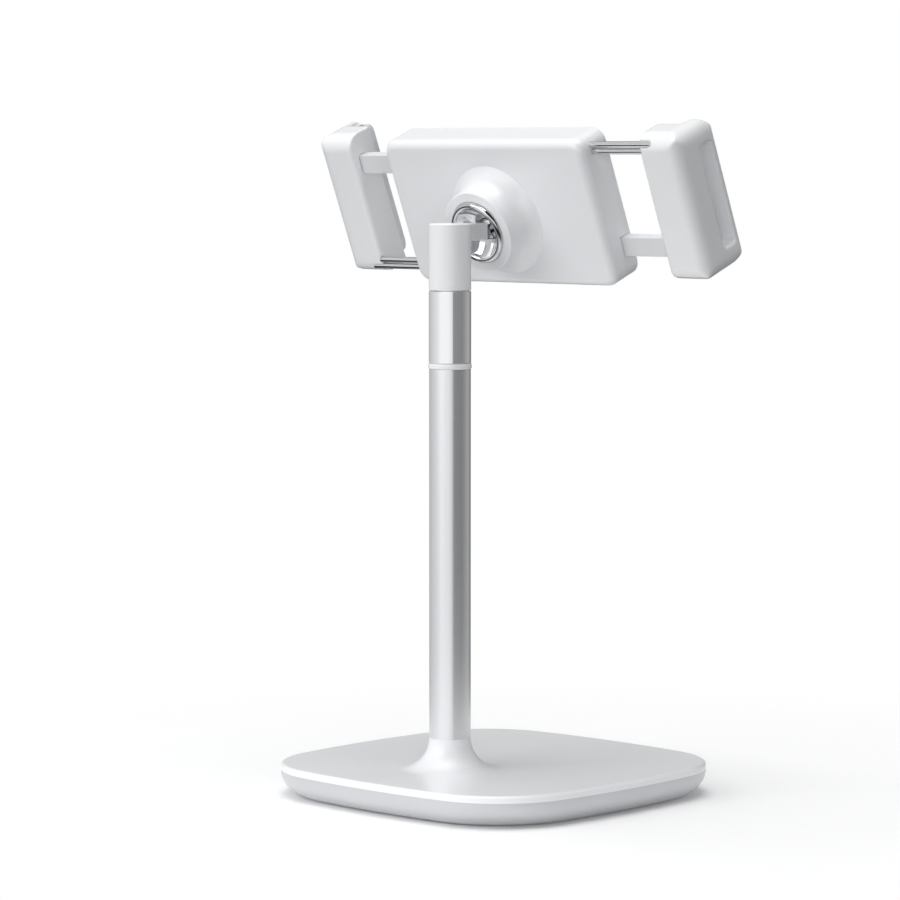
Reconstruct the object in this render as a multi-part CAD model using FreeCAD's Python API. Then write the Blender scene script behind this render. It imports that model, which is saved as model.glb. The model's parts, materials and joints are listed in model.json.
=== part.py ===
import FreeCAD, Part
import math
import os
from FreeCAD import Vector

# Desk stand for a tablet: a weighted base, a telescopic pole with a twist collar, a ball joint and a
# clamp whose two jaws slide apart on racks. Millimetres, +Z up, the front is -Y. The origin is on the
# underside of the base, at its centre. The pole stands behind that centre.

# ---- driving dimensions -------------------------------------------------------------------------
BASE_HALF = 89.0            # half the width of the base
BASE_SIDE_RADIUS = 420.0    # the sides of the base are slightly bowed
BASE_CORNER_RADIUS = 45.0
PAD_T = 1.0                 # anti-slip sheet under the base
PAD_INSET = 10.0
BAND_TOP_Z = 12.5           # joint line between tray and top shell
BAND_FLOOR_T = 1.5
BAND_WALL = 2.0
BAND_INSETS = ((0.0, 7.0), (0.22, 3.4), (0.55, 0.9), (1.0, 0.0))   # height share, inset of the outline
SHELL_T = 3.3
SHELL_EDGE_RADIUS = 1.6
WEIGHT_INSET = 17.0
WEIGHT_CORNER_RADIUS = 34.0
WEIGHT_T = 7.0
BAND_SCREW_INSET = 33.0     # tray screws, in from the side of the base
WEIGHT_SCREW_INSET = 49.0
BASE_SCREW_R = 1.75
BASE_HEAD_R = 3.2
BASE_HEAD_T = 1.2
BOSS_R = 4.0                # screw bosses under the top shell
BOSS_NOTCH_GAP = 1.0
BOLT_R = 4.0                # bolt that ties the pole to the base
BOLT_HEAD_R = 6.6
BOLT_HEAD_T = 3.0
BOLT_ROOM = 2.0             # round the bolt's head
BOLT_GAP = 0.3
BOLT_GRIP = 6.0             # end of the bolt, under the plug's top
WASHER_R = 8.0
WASHER_T = 0.8
WASHER_GAP = 0.2
WASHER_UP = 2.8             # washer above the weight's underside
PLUG_BELOW_FOOT = 4.0       # plug's top, under the lowered inner tube
PLUG_SHELL_GAP = 0.1        # round the plug, in the top shell

POLE_Y = 31.0               # pole axis behind the base centre
NECK_TOP_Z = 31.0
NECK_FLARE = 15.0
TUBE_OD = 20.0
TUBE_WALL = 1.5
TUBE_L = 178.0
TUBE_SPACE = 1.5            # between the two tubes, taken up by the bush
INNER_WALL = 1.2
FOOT_ABOVE_NECK = 15.0      # foot of the inner tube, pole lowered
CAP_SOCKET_DEPTH = 17.2     # inner tube, up into the cap
BUSH_L = 14.0
CIRCLIP_T = 1.0
CIRCLIP_PROUD = 0.8
CIRCLIP_GROOVE = 0.5
CIRCLIP_OPENING = 3.0
END_FLANGE_T = 1.5
END_FLANGE_GAP = 0.6
END_PLUG_L = 12.0
RING_T = 2.7                # white ring of the collet
RING_PROUD = 0.4            # ring outside the tube
SLEEVE_L = 14.0             # collet, down into the tube
FINGER_L = 15.0
FINGER_SLOT = 1.6
FINGER_COUNT = 4
FINGER_TAPER = 0.6
COLLAR_PROUD = 0.15         # collar and cap outside the tube
COLLAR_WALL = 1.0
COLLAR_L = 34.8
COLLAR_LIP_T = 1.5
COLLAR_LIP_GAP = 0.25
WEDGE_L = 6.0
WEDGE_TAPER_OVER = 1.0      # taper of the fingers beyond the wedge ring
LINER_L = 7.0
LINER_UP = 0.3
CAP_L = 31.8
CAP_GAP = 0.3               # between the collar and the cap
CAP_EDGE_RADIUS = 0.9
ARM_W = 9.0
ARM_H = 8.3
ARM_EDGE_RADIUS = 0.8
RUN = 0.05                  # running clearance on a radius
FACE_GAP = 0.05             # between faces that slide on each other
FIT = 0.02                  # between pieces of one body

TILT_DEG = 22.0             # the holder leans back at rest
BALL_R = 16.4
BALL_AHEAD = 13.35          # ball centre, ahead of the cap
BALL_BELOW_CAP_TOP = 2.9
ARM_END_BEHIND = 2.0        # end of the arm, behind the ball centre
STUB_R = 3.9                # stub of the ball that meets the arm
BOWL_LIP_W = 2.8
BOWL_FLOOR_N = 1.0          # bottom of the bowl
SCREW_R = 1.6
SCREW_HEAD_R = 3.2
SCREW_HEAD_T = 2.2
SCREW_KEY_R = 1.4
SCREW_SEAT = 10.0           # seat of the screw head, in front of the ball centre
INSERT_R = 2.6
INSERT_L = 9.0

MOUTH_N = -4.5              # plane of the mouth, measured from the ball centre towards the tablet
MOUTH_GAP = 0.12
MOUTH_OUTER_R = BALL_R + 4.2
BOSS_BASE_R = BALL_R + 11.6
BOSS_L = 15.5
RIM_PROUD = 1.9             # the bowl's rim stands out of the mouth
LIP_T = 1.2
SEAT_R = BALL_R + 2.8
SEAT_FLANGE_R = BALL_R + 5.1
SEAT_FLANGE_T = 2.0
FRICTION_T = 0.9
FRICTION_HOLE_DEG = 15.0
FRICTION_EDGE_DEG = 42.0
PRESS_R = 13.0
PRESS_BACK_N = BALL_R + 2.8
SPRING_T = 0.8
SPRING_OUTER_R = 12.5
SPRING_INNER_R = 8.0
RETAINER_EDGE = 4.0         # plate beyond its screws
RETAINER_SINK = 0.7         # screw heads into the plate
RETAINER_HALF_V = 13.0
RETAINER_T = 1.3
POST_OUT = 4.5              # posts beyond the cup's flange
POST_V = 8.0
POST_R = 3.0
SMALL_SCREW_R = 1.25
SMALL_HEAD_R = 2.4
SMALL_HEAD_T = 1.4
SMALL_SCREW_L = 7.0

BODY_HALF_U = 65.0          # housing of the clamp
BODY_HALF_V = 37.5
BODY_UP = 3.0               # the housing sits this much above the ball axis
BODY_CORNER_R = 7.0
BODY_EDGE_R = 4.2
BODY_WALL = 2.2
PLATE_T = 2.5
RACK_LOW_GAP = 1.25         # retainer to racks
RACK_TOP_GAP = 0.2          # racks to front plate
PAD_INSET_U = 13.0          # front pad, in from the housing
PAD_INSET_V = 8.5
FRONT_PAD_T = 4.0

MODULE = 1.0
PINION_TEETH = 30
BACKLASH = 0.35
PINION_T = 4.8
AXLE_SINK = 0.15            # axle head behind the racks' rear face
AXLE_R = 2.5
AXLE_HEAD_R = 4.2
AXLE_HEAD_T = 0.4
RACK_BACK_H = 9.4           # bar behind the roots of the teeth
RACK_T = 5.2
RACK_INNER_END = -12.0      # on the far side of the middle
RACK_TEETH_TO = 11
ROD_R = 1.5
ROD_BEHIND = 8.5            # rods, behind the front plate
ROD_INSETS = (8.2, 4.8)     # rods, in from the housing's long side
ROD_INNER_END = 12.0
SLOT_GAP = 0.3

JAW_INSET_V = 0.5           # jaws shorter than the housing, each end
JAW_OPEN = 29.5             # gap between the housing and each jaw at rest
JAW_W = 23.5
JAW_BEHIND = 10.5           # rear face of the jaws, behind the front plate
JAW_DEPTH = 29.0
JAW_LIP_T = 3.0
JAW_LIP_IN = 8.5            # lip and wall, from the jaw's inner side
JAW_WALL_IN = 15.0
POCKET_AHEAD = 7.0          # floor of the jaws' pocket, ahead of the front plate's rear face
JAW_END_R = 8.0
JAW_REAR_R = 7.0
JAW_FRONT_R = 3.0
JAW_SOCKET_DEPTH = 7.0
JAW_SCREW_IN = 3.6
JAW_HEAD_SINK = 0.2
WINDOW_END = 11.5           # jaw left at each end of the window
WINDOW_AHEAD = (5.6, 14.6)
WINDOW_R = 2.0
GRIP_T = 2.0
GRIP_FROM_WINDOW = 2.0
GRIP_FROM_END = 2.0
COIL_R = 2.3
COIL_WIRE_R = 0.45
COIL_PITCH = 1.6
COIL_BEHIND = 10.8
COIL_FAR_INSET = 7.0
COIL_NEAR_U = 9.0
HOOK_R = 1.2

# ---- derived places -----------------------------------------------------------------------------
WEIGHT_HALF = BASE_HALF - WEIGHT_INSET
BAND_SCREW_REACH = BASE_HALF - BAND_SCREW_INSET
WEIGHT_SCREW_REACH = BASE_HALF - WEIGHT_SCREW_INSET
TUBE_ID_R = TUBE_OD / 2 - TUBE_WALL
INNER_R = TUBE_ID_R - TUBE_SPACE
INNER_FOOT_Z = NECK_TOP_Z + FOOT_ABOVE_NECK
RING_OD = TUBE_OD + 2 * RING_PROUD
COLLAR_OD = TUBE_OD + 2 * COLLAR_PROUD
CAP_OD = COLLAR_OD
FINGER_FOOT_R = TUBE_ID_R
FINGER_TIP_R = FINGER_FOOT_R - FINGER_TAPER
CIRCLIP_R = INNER_R + CIRCLIP_PROUD
END_FLANGE_R = TUBE_ID_R - END_FLANGE_GAP
TUBE_TOP_Z = NECK_TOP_Z + TUBE_L
RING_TOP_Z = TUBE_TOP_Z + RING_T
COLLAR_TOP_Z = RING_TOP_Z + COLLAR_L
CAP_Z = COLLAR_TOP_Z + CAP_GAP
CAP_TOP_Z = CAP_Z + CAP_L
INNER_L = CAP_Z + CAP_SOCKET_DEPTH - INNER_FOOT_Z
BALL_Y = POLE_Y - CAP_OD / 2 - BALL_AHEAD
BALL_Z = CAP_TOP_Z - BALL_BELOW_CAP_TOP
ARM_Z = CAP_TOP_Z - ARM_H / 2
ARM_END_Y = BALL_Y + ARM_END_BEHIND
WEIGHT_Z = PAD_T + BAND_FLOOR_T
WASHER_Z = WEIGHT_Z + WASHER_UP
PLUG_Z = WEIGHT_Z + WEIGHT_T
PLUG_TOP_Z = INNER_FOOT_Z - PLUG_BELOW_FOOT
BOLT_END_Z = PLUG_TOP_Z - BOLT_GRIP
POST_U = SEAT_FLANGE_R + POST_OUT
RETAINER_HALF_U = POST_U + RETAINER_EDGE
PAD_HALF_U = BODY_HALF_U - PAD_INSET_U
PAD_HALF_V = BODY_HALF_V - PAD_INSET_V
ROD_V = tuple(BODY_HALF_V - inset for inset in ROD_INSETS)
JAW_HALF_V = BODY_HALF_V - JAW_INSET_V
JAW_INNER_U = BODY_HALF_U + JAW_OPEN
JAW_OUTER_U = JAW_INNER_U + JAW_W
JAW_LIP_U = JAW_INNER_U + JAW_LIP_IN
JAW_WALL_U = JAW_INNER_U + JAW_WALL_IN
JAW_SCREW_U = JAW_INNER_U + JAW_SCREW_IN
WINDOW_HALF_V = JAW_HALF_V - WINDOW_END
GRIP_V = (WINDOW_HALF_V + GRIP_FROM_WINDOW, JAW_HALF_V - GRIP_FROM_END)
COIL_FAR_U = BODY_HALF_U - COIL_FAR_INSET
BODY_REAR_N = MOUTH_N + BOSS_L
FLOOR_N = BODY_REAR_N + BODY_WALL
SPRING_N = PRESS_BACK_N + FACE_GAP
RETAINER_N = SPRING_N + SPRING_T
RACK_N = RETAINER_N + RETAINER_T + RACK_LOW_GAP
AXLE_HEAD_N = RACK_N - AXLE_SINK
PINION_N = AXLE_HEAD_N + AXLE_HEAD_T + 3 * RUN
RIM_N = RACK_N + RACK_T + RACK_TOP_GAP
PLATE_N = RIM_N + PLATE_T
ROD_N = RIM_N - ROD_BEHIND
COIL_N = RIM_N - COIL_BEHIND
JAW_REAR_N = RIM_N - JAW_BEHIND
JAW_FRONT_N = JAW_REAR_N + JAW_DEPTH
JAW_POCKET_N = RIM_N + POCKET_AHEAD
JAW_SEAT_N = JAW_POCKET_N - SMALL_HEAD_T - JAW_HEAD_SINK
WINDOW_N = (RIM_N + WINDOW_AHEAD[0], RIM_N + WINDOW_AHEAD[1])
PITCH_R = MODULE * PINION_TEETH / 2
ADDENDUM = MODULE
DEDENDUM = 1.25 * MODULE
RACK_PITCH = math.pi * MODULE
TAN_FLANK = math.tan(math.radians(20.0))


# ---- small helpers ------------------------------------------------------------------------------
def edge(a, b):
    return Part.makeLine(Vector(*a), Vector(*b))


def arc(a, mid, b):
    return Part.Arc(Vector(*a), Vector(*mid), Vector(*b)).toShape()


def face(edges):
    return Part.Face(Part.Wire(edges))


def polygon_face(points):
    closed = list(points) + [points[0]]
    return face([edge(closed[i], closed[i + 1]) for i in range(len(points))])


def cyl(r, z0, z1, x=0.0, y=0.0):
    return Part.makeCylinder(r, z1 - z0, Vector(x, y, z0))


def pole_ring(r_out, r_in, z0, z1):
    return cyl(r_out, z0, z1, 0, POLE_Y).cut(cyl(r_in, z0 - 1, z1 + 1, 0, POLE_Y))


def fuse(first, *others):
    shape = first.multiFuse(list(others)) if others else first
    return shape.removeSplitter()


def cut(shape, *tools):
    for tool in tools:
        shape = shape.cut(tool)
    return shape


def compound(shapes):
    return Part.makeCompound(shapes)


def export(shape, name):
    shape.exportStep("parts/" + name + ".step")


# Holder frame: u along the clamp (world X), v up the tablet, n towards the tablet. It is drawn with the
# ball centre at the origin and n along -Y, then leaned back and moved to the ball.
def block(u0, u1, n0, n1, v0, v1):
    return Part.makeBox(u1 - u0, n1 - n0, v1 - v0, Vector(u0, -n1, v0))


def rod_n(r, n0, n1, u=0.0, v=0.0):
    return Part.makeCylinder(r, n1 - n0, Vector(u, -n0, v), Vector(0, -1, 0))


def rod_u(r, u0, u1, n, v):
    return Part.makeCylinder(r, u1 - u0, Vector(u0, -n, v), Vector(1, 0, 0))


def lathe_n(edges):
    """Turns a face drawn with x as radius and y as -n about the n axis."""
    return face(edges).revolve(Vector(0, 0, 0), Vector(0, 1, 0), 360)


def rounded_uv(half_u, half_v, n0, n1, r, v_mid):
    """A rounded rectangle in u and v, from n0 to n1."""
    solid = block(-half_u, half_u, n0, n1, v_mid - half_v, v_mid + half_v)
    along_n = [e for e in solid.Edges if abs(abs(e.tangentAt(e.FirstParameter).y) - 1) < 1e-6]
    return solid.makeFillet(r, along_n)


def lean(shape):
    placed = shape.copy()
    placed.rotate(Vector(0, 0, 0), Vector(1, 0, 0), -TILT_DEG)
    placed.translate(Vector(0, BALL_Y, BALL_Z))
    return placed


def mirrored(shape):
    """The other jaw's piece: half a turn about the clamp's middle axis along n."""
    turned = shape.copy()
    turned.rotate(Vector(0, 0, BODY_UP), Vector(0, 1, 0), 180)
    return turned


# ---- base ---------------------------------------------------------------------------------------
def base_outline(half, z, corner=BASE_CORNER_RADIUS):
    """Closed outline of four bowed sides and four round corners, tangent to each other."""
    side = BASE_SIDE_RADIUS
    shift = side - half
    reach = side - corner
    c = (-shift + math.sqrt(2 * reach * reach - shift * shift)) / 2
    lean_angle = math.atan2(c, c + shift)
    end = Vector(side * math.cos(lean_angle) - shift, side * math.sin(lean_angle), z)
    diagonal = c + corner / math.sqrt(2)
    edges = []
    for quarter in range(4):
        turn = FreeCAD.Rotation(Vector(0, 0, 1), 90 * quarter)
        low, top = Vector(end.x, -end.y, z), Vector(half, 0, z)
        mid, corner_end = Vector(diagonal, diagonal, z), Vector(end.y, end.x, z)
        edges.append(Part.Arc(turn * low, turn * top, turn * end).toShape())
        edges.append(Part.Arc(turn * end, turn * mid, turn * corner_end).toShape())
    return Part.Wire(edges)


def slab(half, z0, z1, corner=BASE_CORNER_RADIUS):
    return Part.Face(base_outline(half, z0, corner)).extrude(Vector(0, 0, z1 - z0))


def corner_points(reach):
    return [(sx * reach, sy * reach) for sx in (-1, 1) for sy in (-1, 1)]


def make_foot_pad():
    pad = slab(BASE_HALF - PAD_INSET, 0, PAD_T)
    return cut(pad, cyl(BOLT_HEAD_R + BOLT_ROOM, -1, PAD_T + 1, 0, POLE_Y))


def make_base_band():
    height = BAND_TOP_Z - PAD_T
    outlines = [base_outline(BASE_HALF - inset, PAD_T + share * height) for share, inset in BAND_INSETS]
    body = Part.makeLoft(outlines, True, False)
    inside = slab(BASE_HALF - BAND_INSETS[0][1] - BAND_WALL, PAD_T + BAND_FLOOR_T, BAND_TOP_Z + 1)
    places = corner_points(BAND_SCREW_REACH)
    heads = [cyl(BASE_HEAD_R + RUN, PAD_T - 1, PAD_T + BASE_HEAD_T, x, y) for x, y in places]
    holes = [cyl(BASE_SCREW_R + RUN, PAD_T - 1, BAND_TOP_Z, x, y) for x, y in places]
    return cut(body, inside, cyl(BOLT_HEAD_R + BOLT_ROOM, 0, WEIGHT_Z + 1, 0, POLE_Y), *heads, *holes)


def make_base_shell():
    top_z = BAND_TOP_Z + SHELL_T
    plate = slab(BASE_HALF, BAND_TOP_Z, top_z)
    rim = [e for e in plate.Edges if abs(e.BoundBox.ZMin - top_z) < 1e-6]
    plate = plate.makeFillet(SHELL_EDGE_RADIUS, rim)
    r_top = TUBE_OD / 2 + 0.1
    rise = NECK_TOP_Z - top_z
    flat = NECK_FLARE + r_top
    bend = NECK_FLARE / math.sqrt(2)
    neck = face([
        edge((0, 0, BAND_TOP_Z), (flat, 0, BAND_TOP_Z)),
        edge((flat, 0, BAND_TOP_Z), (flat, 0, top_z)),
        arc((flat, 0, top_z), (flat - bend, 0, top_z + NECK_FLARE - bend), (r_top, 0, top_z + NECK_FLARE)),
        edge((r_top, 0, top_z + NECK_FLARE), (r_top, 0, top_z + rise)),
        edge((r_top, 0, top_z + rise), (0, 0, top_z + rise)),
        edge((0, 0, top_z + rise), (0, 0, BAND_TOP_Z)),
    ]).revolve(Vector(0, 0, 0), Vector(0, 0, 1), 360)
    neck.translate(Vector(0, POLE_Y, 0))
    bosses = [cyl(BOSS_R, WEIGHT_Z + FIT, BAND_TOP_Z, x, y) for x, y in corner_points(BAND_SCREW_REACH)]
    bosses += [cyl(BOSS_R, WEIGHT_Z + WEIGHT_T + FIT, BAND_TOP_Z, x, y)
               for x, y in corner_points(WEIGHT_SCREW_REACH)]
    holes = [cyl(BASE_SCREW_R + FIT, 0, BAND_TOP_Z + 1.2, x, y)
             for x, y in corner_points(BAND_SCREW_REACH) + corner_points(WEIGHT_SCREW_REACH)]
    shell = fuse(plate, neck, *bosses)
    return cut(shell, cyl(TUBE_ID_R + PLUG_SHELL_GAP, 0, NECK_TOP_Z + 1, 0, POLE_Y), *holes)


def make_counterweight():
    weight = slab(WEIGHT_HALF, WEIGHT_Z + FIT, WEIGHT_Z + WEIGHT_T, WEIGHT_CORNER_RADIUS)
    notches = [cyl(BOSS_R + BOSS_NOTCH_GAP, 0, BAND_TOP_Z, x, y) for x, y in corner_points(BAND_SCREW_REACH)]
    holes = [cyl(BASE_SCREW_R + RUN, 0, BAND_TOP_Z, x, y) for x, y in corner_points(WEIGHT_SCREW_REACH)]
    sinks = [cyl(BASE_HEAD_R + RUN, 0, WEIGHT_Z + BASE_HEAD_T + RUN, x, y)
             for x, y in corner_points(WEIGHT_SCREW_REACH)]
    bolt_room = [cyl(BOLT_R + BOLT_GAP, 0, BAND_TOP_Z, 0, POLE_Y),
                 cyl(BOLT_HEAD_R + BOLT_ROOM, 0, WASHER_Z + WASHER_T, 0, POLE_Y)]
    return cut(weight, *notches, *holes, *sinks, *bolt_room)


def screw_up(x, y, z_head, head_r, head_t, shank_r, z_end):
    """A pan-head screw pointing up, with a cross recess in its head."""
    head = cyl(head_r, z_head, z_head + head_t, x, y)
    shank = cyl(shank_r, z_head + head_t, z_end, x, y)
    arm = head_r * 0.55
    width = head_r * 0.16
    depth = head_t * 0.5
    bars = [Part.makeBox(2 * a, 2 * b, depth, Vector(x - a, y - b, z_head))
            for a, b in ((arm, width), (width, arm))]
    return cut(fuse(head, shank), *bars)


def hexagon_points(r):
    return [(r * math.cos(math.radians(60 * i)), r * math.sin(math.radians(60 * i))) for i in range(6)]


def make_base_parts():
    export(make_foot_pad(), "foot_pad")
    export(make_base_band(), "base_band")
    export(make_base_shell(), "base_shell")
    export(make_counterweight(), "counterweight")
    export(compound([screw_up(x, y, PAD_T, BASE_HEAD_R, BASE_HEAD_T, BASE_SCREW_R, BAND_TOP_Z + 1.0)
                     for x, y in corner_points(BAND_SCREW_REACH)]), "band_screws")
    export(compound([screw_up(x, y, WEIGHT_Z + FIT, BASE_HEAD_R, BASE_HEAD_T, BASE_SCREW_R, BAND_TOP_Z + 1.0)
                     for x, y in corner_points(WEIGHT_SCREW_REACH)]), "weight_screws")
    plug = cyl(TUBE_ID_R, PLUG_Z, PLUG_TOP_Z, 0, POLE_Y)
    export(plug.cut(cyl(BOLT_R + FIT, 0, BOLT_END_Z + 1.0, 0, POLE_Y)), "tube_plug")
    head_low = WASHER_Z - BOLT_HEAD_T
    hexagon = [(x, POLE_Y + y, head_low) for x, y in hexagon_points(BOLT_HEAD_R)]
    head = polygon_face(hexagon).extrude(Vector(0, 0, BOLT_HEAD_T))
    export(fuse(head, cyl(BOLT_R, WASHER_Z, BOLT_END_Z, 0, POLE_Y)), "tie_bolt")
    export(pole_ring(WASHER_R, BOLT_R + WASHER_GAP, WASHER_Z + FIT, WASHER_Z + WASHER_T), "tie_washer")


# ---- pole ---------------------------------------------------------------------------------------
def make_outer_tube():
    return pole_ring(TUBE_OD / 2, TUBE_ID_R, NECK_TOP_Z + FIT, TUBE_TOP_Z)


def make_collet():
    """Flange ring, a sleeve down into the tube and tapered fingers up into the collar."""
    bore = INNER_R + RUN
    ring = pole_ring(RING_OD / 2, bore, TUBE_TOP_Z + FIT, RING_TOP_Z)
    ring = ring.makeFillet(0.6, [e for e in ring.Edges if abs(e.BoundBox.XLength - RING_OD) < 0.01])
    sleeve = pole_ring(TUBE_ID_R - FIT, bore, TUBE_TOP_Z - SLEEVE_L, TUBE_TOP_Z + 0.5)
    tip_z = RING_TOP_Z + FINGER_L
    taper_z = tip_z - WEDGE_L - WEDGE_TAPER_OVER
    foot = cyl(FINGER_FOOT_R, RING_TOP_Z - 0.5, taper_z, 0, POLE_Y)
    cone = Part.makeCone(FINGER_FOOT_R, FINGER_TIP_R, tip_z - taper_z, Vector(0, POLE_Y, taper_z))
    fingers = fuse(foot, cone).cut(cyl(bore, RING_TOP_Z - 2, tip_z + 1, 0, POLE_Y))
    for i in range(FINGER_COUNT):
        slot = Part.makeBox(RING_OD, FINGER_SLOT, FINGER_L, Vector(0, -FINGER_SLOT / 2, RING_TOP_Z + 2.5))
        slot.rotate(Vector(0, 0, 0), Vector(0, 0, 1), 45 + 360 / FINGER_COUNT * i)
        slot.translate(Vector(0, POLE_Y, 0))
        fingers = fingers.cut(slot)
    return fuse(ring, sleeve, fingers)


def make_wedge_ring():
    """Ring with a tapered bore that matches the fingers."""
    z1 = RING_TOP_Z + FINGER_L
    z0 = z1 - WEDGE_L
    slope = FINGER_TAPER / (WEDGE_L + WEDGE_TAPER_OVER)
    foot_r = FINGER_TIP_R + RUN + slope * WEDGE_L
    outer = cyl(COLLAR_OD / 2 - COLLAR_WALL - RUN, z0, z1, 0, POLE_Y)
    bore = Part.makeCone(foot_r, FINGER_TIP_R + RUN, WEDGE_L, Vector(0, POLE_Y, z0))
    return outer.cut(bore)


def make_lock_collar():
    inner = COLLAR_OD / 2 - COLLAR_WALL
    body = pole_ring(COLLAR_OD / 2, inner, RING_TOP_Z + FACE_GAP, COLLAR_TOP_Z)
    lip = pole_ring(inner + 0.2, INNER_R + COLLAR_LIP_GAP, COLLAR_TOP_Z - COLLAR_LIP_T, COLLAR_TOP_Z)
    collar = fuse(body, lip)
    outer_edges = [e for e in collar.Edges if abs(e.BoundBox.XLength - COLLAR_OD) < 0.01 and e.Closed]
    return collar.makeChamfer(0.3, outer_edges)


def make_guide_bush():
    bush = pole_ring(TUBE_ID_R - RUN, INNER_R + RUN, INNER_FOOT_Z + FACE_GAP, INNER_FOOT_Z + BUSH_L)
    relief = pole_ring(TUBE_ID_R + 1, TUBE_ID_R - 0.5, INNER_FOOT_Z + 3.5, INNER_FOOT_Z + BUSH_L - 3.5)
    return bush.cut(relief)


def make_inner_tube():
    bore = INNER_R - INNER_WALL
    tube = pole_ring(INNER_R, bore, INNER_FOOT_Z, INNER_FOOT_Z + INNER_L)
    groove_z = INNER_FOOT_Z + BUSH_L + FACE_GAP
    return tube.cut(pole_ring(INNER_R + 1, INNER_R - CIRCLIP_GROOVE, groove_z, groove_z + CIRCLIP_T))


def make_circlip():
    z0 = INNER_FOOT_Z + BUSH_L + FACE_GAP + FIT
    ring = pole_ring(CIRCLIP_R, INNER_R - CIRCLIP_GROOVE + FIT, z0, z0 + CIRCLIP_T - 2 * FIT)
    return ring.cut(Part.makeBox(CIRCLIP_OPENING, CIRCLIP_R + 1, CIRCLIP_T + 1,
                                 Vector(-CIRCLIP_OPENING / 2, POLE_Y, z0 - 0.5)))


def make_end_plug():
    flange = cyl(END_FLANGE_R, INNER_FOOT_Z - END_FLANGE_T, INNER_FOOT_Z - FIT, 0, POLE_Y)
    stem = cyl(INNER_R - INNER_WALL - FIT, INNER_FOOT_Z - FIT, INNER_FOOT_Z + END_PLUG_L, 0, POLE_Y)
    return fuse(flange, stem)


def make_head_cap():
    """Round cap with the square arm that carries the ball."""
    cap = cyl(CAP_OD / 2, CAP_Z, CAP_TOP_Z, 0, POLE_Y)
    arm = Part.makeBox(ARM_W, POLE_Y - ARM_END_Y, ARM_H, Vector(-ARM_W / 2, ARM_END_Y, CAP_TOP_Z - ARM_H))
    along_arm = [e for e in arm.Edges if abs(e.tangentAt(e.FirstParameter).y) > 0.99]
    arm = arm.makeFillet(ARM_EDGE_RADIUS, along_arm)
    closed = [e for e in cap.Edges if e.Closed and e.BoundBox.ZLength < 1e-6]
    rims = [e for e in closed if abs(e.BoundBox.ZMin - CAP_TOP_Z) < 1e-6]
    cap = cap.makeFillet(CAP_EDGE_RADIUS, rims)
    socket = cyl(INNER_R + FIT, CAP_Z - 1, INNER_FOOT_Z + INNER_L + FIT, 0, POLE_Y)
    return cut(fuse(cap, arm), socket, arm_rod(INSERT_R + FIT, ARM_END_Y, ARM_END_Y + INSERT_L))


def arm_rod(r, y0, y1):
    """A cylinder on the arm's axis."""
    return Part.makeCylinder(r, y1 - y0, Vector(0, y0, ARM_Z), Vector(0, 1, 0))


def make_arm_insert():
    """Threaded brass sleeve in the end of the arm."""
    sleeve = arm_rod(INSERT_R, ARM_END_Y, ARM_END_Y + INSERT_L)
    return sleeve.cut(arm_rod(SCREW_R + FIT, ARM_END_Y - 1, ARM_END_Y + INSERT_L + 1))


def make_ball():
    """Ball hollowed from behind to a bowl with a round lip, and a stub that meets the arm."""
    rim_n = MOUTH_N - RIM_PROUD
    outer_n = rim_n + 0.8
    outer_r = on_circle(BALL_R, outer_n)
    inner_r = outer_r - BOWL_LIP_W
    inner_y = -rim_n - 1.0
    floor_y = -BOWL_FLOOR_N
    depth = inner_y - floor_y
    hollow_r = (inner_r ** 2 + depth ** 2) / (2 * depth)
    half_way = (inner_r / 2, floor_y + hollow_r - math.sqrt(hollow_r ** 2 - inner_r ** 2 / 4), 0)
    far = BALL_R + 1
    bowl = lathe_n([
        arc((0, floor_y, 0), half_way, (inner_r, inner_y, 0)),
        arc((inner_r, inner_y, 0), (inner_r + BOWL_LIP_W * 0.45, -rim_n, 0), (outer_r, -outer_n, 0)),
        edge((outer_r, -outer_n, 0), (far, -outer_n, 0)),
        edge((far, -outer_n, 0), (far, far, 0)),
        edge((far, far, 0), (0, far, 0)),
        edge((0, far, 0), (0, floor_y, 0)),
    ])
    hollow = lean(Part.makeSphere(BALL_R).cut(bowl))
    ball = fuse(hollow, arm_rod(STUB_R, BALL_Y - BOWL_FLOOR_N - 3.0, ARM_END_Y - FIT))
    pocket = arm_rod(SCREW_HEAD_R + 0.1, BALL_Y - BALL_R - 1, BALL_Y - SCREW_SEAT)
    return cut(ball, arm_rod(SCREW_R + FIT, BALL_Y - BALL_R, ARM_END_Y + 1), pocket)


def make_ball_screw():
    seat_y = BALL_Y - SCREW_SEAT
    head = arm_rod(SCREW_HEAD_R, seat_y - SCREW_HEAD_T, seat_y - FIT)
    shank = arm_rod(SCREW_R, seat_y - FIT, ARM_END_Y + INSERT_L - 1)
    key = [(x, seat_y - SCREW_HEAD_T, ARM_Z + z) for x, z in hexagon_points(SCREW_KEY_R)]
    recess = polygon_face(key).extrude(Vector(0, SCREW_HEAD_T * 0.6, 0))
    return cut(fuse(head, shank), recess)


def make_pole_parts():
    export(make_outer_tube(), "outer_tube")
    export(make_collet(), "collet")
    export(make_wedge_ring(), "wedge_ring")
    export(make_lock_collar(), "lock_collar")
    liner_r = COLLAR_OD / 2 - COLLAR_WALL - FIT
    liner_z = RING_TOP_Z + LINER_UP
    export(pole_ring(liner_r, FINGER_FOOT_R + RUN, liner_z, liner_z + LINER_L), "collar_liner")
    export(make_guide_bush(), "guide_bush")
    export(make_inner_tube(), "inner_tube")
    export(make_circlip(), "circlip")
    export(make_end_plug(), "end_plug")
    export(make_head_cap(), "head_cap")
    export(make_arm_insert(), "arm_insert")
    export(make_ball(), "ball")
    export(make_ball_screw(), "ball_screw")


# ---- ball joint ---------------------------------------------------------------------------------
def on_circle(r, n):
    """Radius at which a sphere of radius r about the ball centre meets the plane at n."""
    return math.sqrt(r * r - n * n)


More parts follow.
